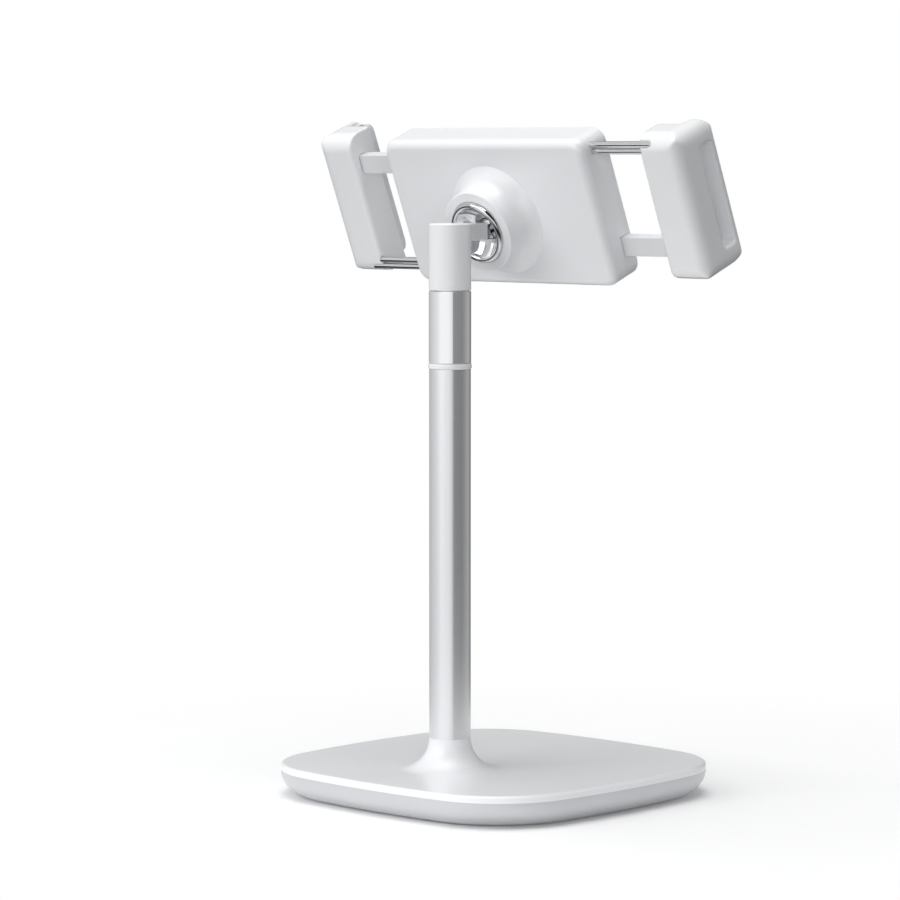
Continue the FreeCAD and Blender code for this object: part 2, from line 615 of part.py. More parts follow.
def make_seat_cup():
    """Turned cup whose lip holds the ball. A step behind the lip leaves room for the friction pad."""
    rear, step, front = MOUTH_N + LIP_T, 1.0, BODY_REAR_N + 1.0
    r = BALL_R + RUN
    pad_r = BALL_R + RUN + FRICTION_T + 2 * RUN
    flange = front - SEAT_FLANGE_T
    return lathe_n([
        arc((on_circle(r, rear), -rear, 0), (on_circle(r, rear / 2 + step / 2), -(rear + step) / 2, 0),
            (on_circle(r, step), -step, 0)),
        edge((on_circle(r, step), -step, 0), (pad_r, -step, 0)),
        edge((pad_r, -step, 0), (pad_r, -front, 0)),
        edge((pad_r, -front, 0), (SEAT_FLANGE_R, -front, 0)),
        edge((SEAT_FLANGE_R, -front, 0), (SEAT_FLANGE_R, -flange, 0)),
        edge((SEAT_FLANGE_R, -flange, 0), (SEAT_R, -flange, 0)),
        edge((SEAT_R, -flange, 0), (SEAT_R, -rear, 0)),
        edge((SEAT_R, -rear, 0), (on_circle(r, rear), -rear, 0)),
    ])


def polar(r, degrees):
    a = math.radians(degrees)
    return (r * math.sin(a), -r * math.cos(a), 0)


def make_friction_pad():
    """Thin spherical ring on the front of the ball."""
    r0, r1 = BALL_R + RUN, BALL_R + RUN + FRICTION_T
    a0, a1 = FRICTION_HOLE_DEG, FRICTION_EDGE_DEG
    mid = (a0 + a1) / 2
    return lathe_n([
        arc(polar(r0, a0), polar(r0, mid), polar(r0, a1)),
        edge(polar(r0, a1), polar(r1, a1)),
        arc(polar(r1, a1), polar(r1, mid), polar(r1, a0)),
        edge(polar(r1, a0), polar(r0, a0)),
    ])


def make_pressure_disc():
    """Disc with a hollow face that presses on the friction pad."""
    r = BALL_R + RUN + FRICTION_T + RUN
    bore = SCREW_HEAD_R + 0.6
    a0 = math.degrees(math.asin(bore / r))
    a1 = math.degrees(math.asin(PRESS_R / r))
    return lathe_n([
        arc(polar(r, a0), polar(r, (a0 + a1) / 2), polar(r, a1)),
        edge(polar(r, a1), (PRESS_R, -PRESS_BACK_N, 0)),
        edge((PRESS_R, -PRESS_BACK_N, 0), (bore, -PRESS_BACK_N, 0)),
        edge((bore, -PRESS_BACK_N, 0), polar(r, a0)),
    ])


def make_disc_spring():
    """Dished disc spring."""
    t = 0.4
    rise = SPRING_T - t
    n0 = SPRING_N
    return lathe_n([
        edge((SPRING_INNER_R, -n0, 0), (SPRING_OUTER_R, -n0 - rise, 0)),
        edge((SPRING_OUTER_R, -n0 - rise, 0), (SPRING_OUTER_R, -n0 - rise - t, 0)),
        edge((SPRING_OUTER_R, -n0 - rise - t, 0), (SPRING_INNER_R, -n0 - t, 0)),
        edge((SPRING_INNER_R, -n0 - t, 0), (SPRING_INNER_R, -n0, 0)),
    ])


def post_places():
    return [(su * POST_U, sv * POST_V) for su in (-1, 1) for sv in (-1, 1)]


def make_retainer_plate():
    n1 = RETAINER_N + RETAINER_T
    plate = rounded_uv(RETAINER_HALF_U, RETAINER_HALF_V, RETAINER_N + FIT, n1, 4.0, 0)
    holes = [rod_n(SMALL_SCREW_R + RUN, FLOOR_N, PLATE_N, u, v) for u, v in post_places()]
    sinks = [rod_n(SMALL_HEAD_R + RUN, n1 - RETAINER_SINK, PLATE_N, u, v) for u, v in post_places()]
    return cut(plate, *holes, *sinks)


def screw_n(u, v, n_head, towards, head_r, head_t, shank_r, length):
    """A flat cheese-head screw whose head stands on n_head; towards is the way its tip points."""
    way = Vector(0, -towards, 0)
    base = Vector(u, -n_head, v)
    head = Part.makeCylinder(head_r, head_t, base - way * head_t, way)
    shank = Part.makeCylinder(shank_r, length, base, way)
    low = -n_head + head_t * towards
    bar = Part.makeBox(head_r * 1.1, head_t, head_r * 0.3,
                       Vector(u - head_r * 0.55, low - head_t / 2, v - head_r * 0.15))
    cross = Part.makeBox(head_r * 0.3, head_t, head_r * 1.1,
                         Vector(u - head_r * 0.15, low - head_t / 2, v - head_r * 0.55))
    return cut(fuse(head, shank), bar, cross)


# ---- clamp housing ------------------------------------------------------------------------------
def cover_screw_places():
    u, v = BODY_HALF_U - 9.0, PITCH_R - 5.0
    return [(su * u, BODY_UP + sv * v) for su in (-1, 1) for sv in (-1, 1)]


def make_rear_cover():
    shell = rounded_uv(BODY_HALF_U, BODY_HALF_V, BODY_REAR_N, RIM_N, BODY_CORNER_R, BODY_UP)
    rear = [e for e in shell.Edges if abs(e.BoundBox.YMin + BODY_REAR_N) < 1e-6 and e.BoundBox.YLength < 1e-6]
    shell = shell.makeFillet(BODY_EDGE_R, rear)
    hollow = rounded_uv(BODY_HALF_U - BODY_WALL, BODY_HALF_V - BODY_WALL, FLOOR_N, RIM_N + 1,
                        BODY_CORNER_R - BODY_WALL, BODY_UP)
    shell = shell.cut(hollow)
    base_n = BODY_REAR_N + BODY_WALL
    sweep = ((MOUTH_OUTER_R + BOSS_BASE_R) / 2 - 1.9, -(MOUTH_N + BODY_REAR_N) / 2 - 2.2, 0)
    boss = lathe_n([
        edge((0, -MOUTH_N, 0), (MOUTH_OUTER_R - 0.8, -MOUTH_N, 0)),
        arc((MOUTH_OUTER_R - 0.8, -MOUTH_N, 0), (MOUTH_OUTER_R - 0.23, -MOUTH_N - 0.23, 0),
            (MOUTH_OUTER_R, -MOUTH_N - 0.8, 0)),
        arc((MOUTH_OUTER_R, -MOUTH_N - 0.8, 0), sweep, (BOSS_BASE_R, -BODY_REAR_N, 0)),
        edge((BOSS_BASE_R, -BODY_REAR_N, 0), (BOSS_BASE_R, -base_n, 0)),
        edge((BOSS_BASE_R, -base_n, 0), (0, -base_n, 0)),
        edge((0, -base_n, 0), (0, -MOUTH_N, 0)),
    ])
    seat_rear = MOUTH_N + LIP_T - FACE_GAP
    shoulder = BODY_REAR_N + 1.0 - SEAT_FLANGE_T - FACE_GAP
    bores = [Part.makeSphere(BALL_R + MOUTH_GAP), rod_n(SEAT_R + RUN, seat_rear, PLATE_N),
             rod_n(SEAT_FLANGE_R + RUN, shoulder, PLATE_N)]
    posts = [rod_n(POST_R, FLOOR_N - 0.5, RETAINER_N, u, v) for u, v in post_places()]
    pillars = [rod_n(POST_R, FLOOR_N - 0.5, RIM_N, u, v) for u, v in cover_screw_places()]
    spring_posts = [rod_n(HOOK_R, FLOOR_N - 0.5, COIL_N + 1.0, side * -COIL_FAR_U, rack_v(side))
                    for side in (-1, 1)]
    pilot = [rod_n(SMALL_SCREW_R + FIT, RETAINER_N - 6.5, RETAINER_N + 1, u, v) for u, v in post_places()]
    pilot += [rod_n(SMALL_SCREW_R + FIT, RIM_N - 8, RIM_N + 1, u, v) for u, v in cover_screw_places()]
    cover = fuse(shell, boss, *posts, *pillars, *spring_posts)
    return cut(cover, *bores, *pilot, *rail_openings())


def rack_v(side):
    """Middle of the bar of the rack on that side: the right rack runs above the pinion."""
    return BODY_UP + side * (PITCH_R + DEDENDUM + RACK_BACK_H / 2)


def rod_places(side):
    return [BODY_UP - side * v for v in ROD_V]


def rail_openings():
    """Slots for the rack bars and holes for the guide rods, in both end walls."""
    tools = []
    for side in (-1, 1):
        u0, u1 = sorted((side * (BODY_HALF_U - BODY_CORNER_R), side * (BODY_HALF_U + 1)))
        half = RACK_BACK_H / 2 + SLOT_GAP
        v = rack_v(side)
        tools.append(block(u0, u1, RACK_N - SLOT_GAP, RIM_N + 1, v - half, v + half))
        tools += [rod_u(ROD_R + RUN, u0, u1, ROD_N, rod) for rod in rod_places(side)]
    return tools


def make_front_plate():
    plate = rounded_uv(BODY_HALF_U, BODY_HALF_V, RIM_N + FIT, PLATE_N, BODY_CORNER_R, BODY_UP)
    front = [e for e in plate.Edges if abs(e.BoundBox.YMax + PLATE_N) < 1e-6 and e.BoundBox.YLength < 1e-6]
    plate = plate.makeFillet(1.0, front)
    holes = [rod_n(SMALL_SCREW_R + RUN, RIM_N - 1, PLATE_N + 1, u, v) for u, v in cover_screw_places()]
    sinks = [rod_n(SMALL_HEAD_R + RUN, PLATE_N - SMALL_HEAD_T, PLATE_N + 1, u, v)
             for u, v in cover_screw_places()]
    axle_hole = rod_n(AXLE_R + FIT, RIM_N - 1, PLATE_N + 1, 0, BODY_UP)
    return cut(plate, *holes, *sinks, axle_hole)


def make_front_pad():
    pad = rounded_uv(PAD_HALF_U, PAD_HALF_V, PLATE_N + FIT, PLATE_N + FRONT_PAD_T, 8.0, BODY_UP)
    flat = [e for e in pad.Edges if e.BoundBox.YLength < 1e-6]
    front = [e for e in flat if abs(e.BoundBox.YMax + PLATE_N + FRONT_PAD_T) < 1e-6]
    return pad.makeFillet(0.8, front)


def make_pinion_axle():
    head = rod_n(AXLE_HEAD_R, AXLE_HEAD_N, AXLE_HEAD_N + AXLE_HEAD_T, 0, BODY_UP)
    return fuse(head, rod_n(AXLE_R, AXLE_HEAD_N, PLATE_N - 0.2, 0, BODY_UP))


def involute(r_base, r):
    """Angle of an involute point at radius r, measured from where the curve starts."""
    t = math.sqrt(max(r * r / (r_base * r_base) - 1, 0))
    return t - math.atan(t)


def make_pinion():
    """Spur gear; a tooth points straight down and another straight up."""
    r_base = PITCH_R * math.cos(math.radians(20))
    r_root, r_tip = PITCH_R - DEDENDUM, PITCH_R + ADDENDUM - 0.1
    half_pitch = (RACK_PITCH / 2 - BACKLASH / 2) / PITCH_R / 2
    r_start = max(r_root, r_base)
    radii = [r_start + (r_tip - r_start) * i / 4 for i in range(5)]
    points = []
    for tooth in range(PINION_TEETH):
        middle = -math.pi / 2 + 2 * math.pi * tooth / PINION_TEETH
        half = [half_pitch + involute(r_base, PITCH_R) - involute(r_base, r) for r in radii]
        ring = [(r_root, -half[0])] + [(r, -h) for r, h in zip(radii, half)]
        ring += [(r, h) for r, h in reversed(list(zip(radii, half)))] + [(r_root, half[0])]
        points += [(r * math.cos(middle + a), -PINION_N, r * math.sin(middle + a)) for r, a in ring]
    gear = polygon_face(points).extrude(Vector(0, -PINION_T, 0))
    gear.translate(Vector(0, 0, BODY_UP))
    web = PINION_T * 0.25
    hollow = rod_n(r_root - 1.6, PINION_N - 1, PINION_N + web, 0, BODY_UP).cut(
        rod_n(AXLE_R + 2.5, PINION_N - 2, PINION_N + web + 1, 0, BODY_UP))
    return cut(gear, rod_n(AXLE_R + RUN, PINION_N - 1, PLATE_N, 0, BODY_UP), hollow)


def make_rack():
    """Right-hand rack: a flat bar above the pinion with its teeth downwards."""
    v_mid = rack_v(1)
    v_root = v_mid - RACK_BACK_H / 2
    bar = block(RACK_INNER_END, JAW_INNER_U + JAW_SOCKET_DEPTH - FIT, RACK_N, RACK_N + RACK_T,
                v_root, v_root + RACK_BACK_H)
    root_half = RACK_PITCH / 4 - BACKLASH / 4 + DEDENDUM * TAN_FLANK
    tip_half = RACK_PITCH / 4 - BACKLASH / 4 - (ADDENDUM - 0.1) * TAN_FLANK
    v_tip = v_root - DEDENDUM - ADDENDUM + 0.1
    teeth = []
    first = math.ceil((RACK_INNER_END + root_half) / RACK_PITCH - 0.5)
    for i in range(first, RACK_TEETH_TO + 1):
        u = (i + 0.5) * RACK_PITCH
        outline = [(u - root_half, -RACK_N, v_root + 0.5), (u + root_half, -RACK_N, v_root + 0.5),
                   (u + root_half, -RACK_N, v_root), (u + tip_half, -RACK_N, v_tip),
                   (u - tip_half, -RACK_N, v_tip), (u - root_half, -RACK_N, v_root)]
        teeth.append(polygon_face(outline).extrude(Vector(0, -RACK_T, 0)))
    hook = rod_n(HOOK_R, COIL_N - 1.0, RACK_N + 0.5, -COIL_NEAR_U, v_mid)
    holes = [rod_n(SMALL_SCREW_R + FIT, RACK_N - 1, RACK_N + RACK_T + 1, JAW_SCREW_U, v_mid)]
    return cut(fuse(bar, hook, *teeth), *holes)


def make_guide_rods():
    return compound([rod_u(ROD_R, ROD_INNER_END, JAW_INNER_U + JAW_SOCKET_DEPTH - FIT, ROD_N, v)
                     for v in rod_places(1)])


def make_coil():
    """Extension spring between the hook on the right rack and the post at the left end."""
    u0, u1 = -COIL_FAR_U + HOOK_R + 0.6, -COIL_NEAR_U - HOOK_R - 0.6
    turns = (u1 - u0) / COIL_PITCH
    helix = Part.makeHelix(COIL_PITCH, turns * COIL_PITCH, COIL_R)
    start = Vector(COIL_R, 0, 0)
    tangent = Vector(0, 2 * math.pi * COIL_R, COIL_PITCH)
    section = Part.Wire(Part.makeCircle(COIL_WIRE_R, start, tangent))
    coil = Part.Wire(helix.Edges).makePipeShell([section], True, True)
    coil.rotate(Vector(0, 0, 0), Vector(0, 1, 0), 90)
    coil.translate(Vector(u0, -COIL_N, rack_v(1)))
    return coil


# ---- jaws ---------------------------------------------------------------------------------------
def make_jaw():
    """Right-hand jaw: a C section that takes the tablet's edge, rounded outside, with a window."""
    u0, u1, n0, n1 = JAW_INNER_U, JAW_OUTER_U, JAW_REAR_N, JAW_FRONT_N
    r, f = JAW_REAR_R, JAW_FRONT_R
    k = 1 - math.sqrt(0.5)
    v0, v1 = BODY_UP - JAW_HALF_V, BODY_UP + JAW_HALF_V
    small = 2.0
    lip_n = n1 - JAW_LIP_T

    def p(u, n):
        return (u, -n, v0)

    section = face([
        arc(p(u0 + small, n0), p(u0 + k * small, n0 + k * small), p(u0, n0 + small)),
        edge(p(u0, n0 + small), p(u0, JAW_POCKET_N)),
        edge(p(u0, JAW_POCKET_N), p(JAW_WALL_U, JAW_POCKET_N)),
        edge(p(JAW_WALL_U, JAW_POCKET_N), p(JAW_WALL_U, lip_n)),
        edge(p(JAW_WALL_U, lip_n), p(JAW_LIP_U + 1, lip_n)),
        arc(p(JAW_LIP_U + 1, lip_n), p(JAW_LIP_U + 0.2, lip_n + 0.8), p(JAW_LIP_U + 1, n1)),
        edge(p(JAW_LIP_U + 1, n1), p(u1 - f, n1)),
        arc(p(u1 - f, n1), p(u1 - k * f, n1 - k * f), p(u1, n1 - f)),
        edge(p(u1, n1 - f), p(u1, n0 + r)),
        arc(p(u1, n0 + r), p(u1 - k * r, n0 + k * r), p(u1 - r, n0)),
        edge(p(u1 - r, n0), p(u0 + small, n0)),
    ])
    jaw = section.extrude(Vector(0, 0, v1 - v0))
    ends = block(u0 - 1, u1 + 1, n0, n1, v0, v1)
    along_u = [e for e in ends.Edges if abs(e.tangentAt(e.FirstParameter).x) > 0.99]
    jaw = jaw.common(ends.makeFillet(JAW_END_R, along_u))
    plan = block(u0 - JAW_END_R - 1, u1, n0 - 1, n1 + 1, v0, v1)
    outer = [e for e in plan.Edges if abs(abs(e.tangentAt(e.FirstParameter).y) - 1) < 1e-6
             and e.BoundBox.XMin > u0]
    jaw = jaw.common(plan.makeFillet(JAW_END_R, outer))
    window = block(JAW_LIP_U, u1 + 1, WINDOW_N[0], WINDOW_N[1],
                   BODY_UP - WINDOW_HALF_V, BODY_UP + WINDOW_HALF_V)
    window_sides = [e for e in window.Edges if abs(e.tangentAt(e.FirstParameter).x) > 0.99]
    window = window.makeFillet(WINDOW_R, window_sides)
    half = RACK_BACK_H / 2 + FIT
    v = rack_v(1)
    sockets = [block(u0 - 1, u0 + JAW_SOCKET_DEPTH, RACK_N - FIT, RACK_N + RACK_T + FIT, v - half, v + half)]
    sockets += [rod_u(ROD_R + FIT, u0 - 1, u0 + JAW_SOCKET_DEPTH, ROD_N, rod) for rod in rod_places(1)]
    screw_holes = [rod_n(SMALL_SCREW_R + RUN, RACK_N, JAW_POCKET_N + 1, JAW_SCREW_U, v),
                   rod_n(SMALL_HEAD_R + RUN, JAW_SEAT_N, JAW_POCKET_N + 1, JAW_SCREW_U, v)]
    return cut(jaw, window, *sockets, *screw_holes)


def make_grip_pads():
    """Two soft strips on the jaw's wall, above and below the window."""
    lip_n = JAW_FRONT_N - JAW_LIP_T
    pads = []
    for side in (-1, 1):
        v0, v1 = sorted(BODY_UP + side * v for v in GRIP_V)
        pads.append(block(JAW_WALL_U - GRIP_T, JAW_WALL_U - FIT, JAW_POCKET_N + 0.3, lip_n - 0.3, v0, v1))
    return compound(pads)


def make_jaw_screw():
    """Screw from the pocket into the rack's end."""
    return screw_n(JAW_SCREW_U, rack_v(1), JAW_SEAT_N, -1, SMALL_HEAD_R, SMALL_HEAD_T,
                   SMALL_SCREW_R, JAW_SEAT_N - RACK_N - 1.0)


def make_holder_parts():
    export(lean(make_seat_cup()), "seat_cup")
    export(lean(make_friction_pad()), "friction_pad")
    export(lean(make_pressure_disc()), "pressure_disc")
    export(lean(make_disc_spring()), "disc_spring")
    export(lean(make_retainer_plate()), "retainer_plate")
    export(lean(compound([screw_n(u, v, RETAINER_N + RETAINER_T - RETAINER_SINK, -1, SMALL_HEAD_R, 0.6,
                                  SMALL_SCREW_R, 5.5) for u, v in post_places()])), "retainer_screws")
    export(lean(make_rear_cover()), "rear_cover")
    export(lean(make_front_plate()), "front_plate")
    export(lean(make_front_pad()), "front_pad")
    export(lean(compound([screw_n(u, v, PLATE_N - SMALL_HEAD_T, -1, SMALL_HEAD_R, SMALL_HEAD_T - 0.1,
                                  SMALL_SCREW_R, SMALL_SCREW_L)
                          for u, v in cover_screw_places()])), "cover_screws")
    export(lean(make_pinion_axle()), "pinion_axle")
    export(lean(make_pinion()), "pinion")
    pairs = {"jaw": make_jaw(), "rack": make_rack(), "guide_rods": make_guide_rods(),
             "grip_pads": make_grip_pads(), "jaw_screw": make_jaw_screw(), "return_spring": make_coil()}
    for name, shape in pairs.items():
        export(lean(shape), name + "_right")
        export(lean(mirrored(shape)), name + "_left")


def main():
    os.makedirs("parts", exist_ok=True)
    make_base_parts()
    make_pole_parts()
    make_holder_parts()


main()
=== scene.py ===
"""Looks for a desk tablet stand: weighted base, telescopic pole, ball joint and clamp."""

import json
import logging
import math
from collections.abc import Callable
from dataclasses import dataclass, field
from enum import Enum

import bmesh
import bpy
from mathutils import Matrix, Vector

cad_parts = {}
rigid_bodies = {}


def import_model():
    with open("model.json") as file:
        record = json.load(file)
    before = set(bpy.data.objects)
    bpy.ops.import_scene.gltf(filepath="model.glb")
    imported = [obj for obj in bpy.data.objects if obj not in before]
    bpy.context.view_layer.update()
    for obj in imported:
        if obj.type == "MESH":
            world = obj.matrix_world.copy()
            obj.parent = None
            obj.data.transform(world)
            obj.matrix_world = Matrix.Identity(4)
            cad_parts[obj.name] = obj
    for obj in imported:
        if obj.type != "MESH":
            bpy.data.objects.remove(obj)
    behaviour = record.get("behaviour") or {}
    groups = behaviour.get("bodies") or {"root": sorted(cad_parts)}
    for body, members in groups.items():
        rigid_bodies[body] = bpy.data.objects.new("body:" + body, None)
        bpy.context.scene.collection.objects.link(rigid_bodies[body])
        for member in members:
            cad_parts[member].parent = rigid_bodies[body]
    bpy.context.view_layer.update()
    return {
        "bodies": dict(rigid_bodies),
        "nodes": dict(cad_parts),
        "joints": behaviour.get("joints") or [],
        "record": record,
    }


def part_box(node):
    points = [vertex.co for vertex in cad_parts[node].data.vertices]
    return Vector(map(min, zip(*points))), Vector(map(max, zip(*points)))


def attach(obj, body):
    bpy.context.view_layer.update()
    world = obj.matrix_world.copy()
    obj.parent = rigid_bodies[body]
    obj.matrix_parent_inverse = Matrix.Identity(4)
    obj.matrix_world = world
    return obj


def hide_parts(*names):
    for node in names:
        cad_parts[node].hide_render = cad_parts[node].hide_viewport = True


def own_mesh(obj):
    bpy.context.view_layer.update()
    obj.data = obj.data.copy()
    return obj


log = logging.getLogger("tablet_stand")

MM = 0.001
SHARP_ANGLE = math.radians(50)
EASE_SHARE = 0.5
PURE_WHITE = (1.0, 1.0, 1.0, 1.0)


# ---- shader building -----------------------------------------------------------------------------
class Wire:
    """One output socket of a node, which can be used in expressions."""

    def __init__(self, graph: "Graph", socket: bpy.types.NodeSocket | None) -> None:
        """Keeps the graph and the socket."""
        self.graph = graph
        self.socket = socket

    def _op(self, operation: str, first: object, second: object) -> "Wire":
        """Adds one Math node.

        Args:
            operation: the Math node's operation.
            first: wire or number.
            second: wire or number.

        Returns:
            The node's result.
        """
        return self.graph.node("ShaderNodeMath", {"operation": operation}, {0: first, 1: second})

    def __add__(self, other: object) -> "Wire":
        """self + other."""
        return self._op("ADD", self, other)

    def __radd__(self, other: object) -> "Wire":
        """other + self."""
        return self._op("ADD", other, self)

    def __sub__(self, other: object) -> "Wire":
        """self - other."""
        return self._op("SUBTRACT", self, other)

    def __rsub__(self, other: object) -> "Wire":
        """other - self."""
        return self._op("SUBTRACT", other, self)

    def __mul__(self, other: object) -> "Wire":
        """self * other."""
        return self._op("MULTIPLY", self, other)

    def __rmul__(self, other: object) -> "Wire":
        """other * self."""
        return self._op("MULTIPLY", other, self)


class Graph:
    """The node tree of one material or world, with short ways to add nodes."""

    def __init__(self, tree: bpy.types.NodeTree) -> None:
        """Empties the tree."""
        self.tree = tree
        tree.nodes.clear()

    def node(self, kind: str, settings: dict | None = None, inputs: dict | None = None,
             out: int | str = 0) -> Wire:
        """Adds a node.

        Args:
            kind: the node's type name.
            settings: attributes set first; "stops" is a list of (position, colour) for a ramp.
            inputs: socket index or name to a value or wire.
            out: which output the returned wire holds.

        Returns:
            The chosen output as a wire.
        """
        made = self.tree.nodes.new(kind)
        for name, value in (settings or {}).items():
            if name == "stops":
                self._set_stops(made, value)
            else:
                setattr(made, name, value)
        for key, value in (inputs or {}).items():
            if isinstance(value, Wire):
                self.tree.links.new(value.socket, made.inputs[key])
            else:
                made.inputs[key].default_value = value
        return Wire(self, made.outputs[out]) if len(made.outputs) else Wire(self, None)

    @staticmethod
    def _set_stops(ramp: bpy.types.Node, stops: list[tuple[float, tuple]]) -> None:
        """Sets the stops of a colour ramp.

        Args:
            ramp: the ramp's node.
            stops: position and colour of each stop.
        """
        elements = ramp.color_ramp.elements
        while len(elements) < len(stops):
            elements.new(0.5)
        for element, (place, colour) in zip(elements, stops):
            element.position = place
            element.color = colour

    def place(self) -> Wire:
        """Object coordinates in metres."""
        return self.node("ShaderNodeTexCoord", out="Object")

    def axis(self, vector: Wire, index: int) -> Wire:
        """One component of a vector."""
        return self.node("ShaderNodeSeparateXYZ", inputs={0: vector}, out=index)

    def stretched(self, vector: Wire, scale: tuple[float, float, float]) -> Wire:
        """The vector multiplied by a scale for each axis."""
        return self.node("ShaderNodeVectorMath", {"operation": "MULTIPLY"}, {0: vector, 1: scale})

    def noise(self, vector: Wire, scale: float, detail: float) -> Wire:
        """Noise value from 0 to 1."""
        return self.node("ShaderNodeTexNoise", {"noise_dimensions": "3D"},
                         {"Vector": vector, "Scale": scale, "Detail": detail})

    def remap(self, value: Wire, low: float, high: float, to_low: float, to_high: float) -> Wire:
        """Linear change of range, clamped."""
        return self.node("ShaderNodeMapRange", {"clamp": True},
                         {0: value, 1: low, 2: high, 3: to_low, 4: to_high})

    def blend(self, factor: Wire, first: object, second: object) -> Wire:
        """Mixes two colours.

        Args:
            factor: 0 gives the first, 1 gives the second.
            first: colour or wire.
            second: colour or wire.

        Returns:
            The mixed colour.
        """
        return self.node("ShaderNodeMix", {"data_type": "RGBA"},
                         {0: factor, 6: first, 7: second}, out=2)

    def bump(self, height: Wire, strength: float, distance: float) -> Wire:
        """Normal changed by a height."""
        return self.node("ShaderNodeBump",
                         inputs={"Strength": strength, "Distance": distance, "Height": height})


def rgba(colour: tuple[float, float, float]) -> tuple[float, float, float, float]:
    """The colour with full alpha."""
    return (*colour, 1.0)


def grey(tone: float) -> tuple[float, float, float, float]:
    """A neutral colour, very slightly cool."""
    return (tone * 0.985, tone * 0.992, tone, 1.0)


def toned(colour: tuple[float, float, float], factor: float) -> tuple[float, float, float, float]:
    """The colour made lighter or darker by a factor."""
    return (*(min(1.0, c * factor) for c in colour), 1.0)


@dataclass(frozen=True)
class Finish:
    """A surface finish: base colour and roughness with slight variation, and a fine relief."""

    name: str
    colour: tuple[float, float, float]
    roughness: float
    metallic: float = 0.0
    coat: float = 0.0
    coat_roughness: float = 0.1
    tone_spread: float = 0.02
    rough_spread: float = 0.04
    cloud_scale: float = 14.0
    grain: float = 900.0
    relief: float = 0.03
    relief_depth: float = 0.2 * MM
    specular: float = 0.5

    def build(self) -> bpy.types.Material:
        """Makes the material.

        Returns:
            The finished material.
        """
        material = bpy.data.materials.new(self.name)
        material.use_nodes = True
        material.diffuse_color = rgba(self.colour)
        graph = Graph(material.node_tree)
        colour, rough, normal = self.surface(graph)
        shader = graph.node("ShaderNodeBsdfPrincipled", inputs={
            "Base Color": colour, "Roughness": rough, "Normal": normal, "Metallic": self.metallic,
            "Coat Weight": self.coat, "Coat Roughness": self.coat_roughness,
            "Specular IOR Level": self.specular})
        graph.node("ShaderNodeOutputMaterial", inputs={"Surface": shader})
        return material

    def surface(self, graph: Graph) -> tuple[Wire, Wire, Wire]:
        """Draws what varies over the surface.

        Args:
            graph: the material's graph.

        Returns:
            Colour, roughness and normal.
        """
        place = graph.place()
        cloud = graph.noise(place, self.cloud_scale, 3.0)
        fine = graph.noise(place, self.grain, 2.0)
        rough = (self.roughness + (cloud - 0.5) * self.rough_spread
                 + (fine - 0.5) * self.rough_spread)
        return self.clouded(graph, cloud), rough, graph.bump(fine, self.relief, self.relief_depth)

    def clouded(self, graph: Graph, cloud: Wire) -> Wire:
        """The colour, a little darker and lighter in soft patches."""
        return graph.blend(cloud, toned(self.colour, 1 - self.tone_spread),
                           toned(self.colour, 1 + self.tone_spread))


@dataclass(frozen=True)
class Anodised(Finish):
    """Blasted and anodised aluminium tube: fine sparkle and faint draw lines along the pole."""

    tone_spread: float = 0.015
    cloud_scale: float = 9.0
    cloud_rough: float = 0.03
    relief_depth: float = 0.1 * MM
    line_stretch: tuple[float, float, float] = (1.0, 1.0, 0.012)
    line_scale: float = 900.0
    line_rough: float = 0.05
    line_relief: float = 0.6
    sparkle_scale: float = 2600.0
    sparkle_rough: float = 0.06

    def surface(self, graph: Graph) -> tuple[Wire, Wire, Wire]:
        """Draws what varies over the surface.

        Args:
            graph: the material's graph.

        Returns:
            Colour, roughness and normal.
        """
        place = graph.place()
        lines = graph.noise(graph.stretched(place, self.line_stretch), self.line_scale, 2.0)
        sparkle = graph.noise(place, self.sparkle_scale, 1.0)
        cloud = graph.noise(place, self.cloud_scale, 2.0)
        rough = (self.roughness + (lines - 0.5) * self.line_rough
                 + (sparkle - 0.5) * self.sparkle_rough + (cloud - 0.5) * self.cloud_rough)
        relief = graph.bump(sparkle + lines * self.line_relief, self.relief, self.relief_depth)
        return self.clouded(graph, cloud), rough, relief


@dataclass(frozen=True)
class Turned(Finish):
    """Metal turned on a lathe about the pole: fine rings, brighter than the tube."""

    cloud_scale: float = 30.0
    cloud_rough: float = 0.03
    relief_depth: float = 0.05 * MM
    ring_pitch: float = 0.42 * MM
    ring_stretch: tuple[float, float, float] = (0.02, 0.02, 1.0)
    ring_rough: float = 0.10
    ring_tones: tuple[float, float] = (0.97, 1.02)
    groove_relief: float = 0.3

    def surface(self, graph: Graph) -> tuple[Wire, Wire, Wire]:
        """Draws what varies over the surface.

        Args:
            graph: the material's graph.

        Returns:
            Colour, roughness and normal.
        """
        place = graph.place()
        height = graph.axis(place, 2)
        rings = graph.noise(graph.stretched(place, self.ring_stretch), 1.0 / self.ring_pitch, 2.0)
        turns = height * (2 * math.pi / self.ring_pitch)
        groove = graph.node("ShaderNodeMath", {"operation": "SINE"}, {0: turns})
        cloud = graph.noise(place, self.cloud_scale, 2.0)
        dark, light = (toned(self.colour, tone) for tone in self.ring_tones)
        rough = self.roughness + (rings - 0.5) * self.ring_rough + (cloud - 0.5) * self.cloud_rough
        relief = graph.bump(rings + groove * self.groove_relief, self.relief, self.relief_depth)
        return graph.blend(rings, dark, light), rough, relief


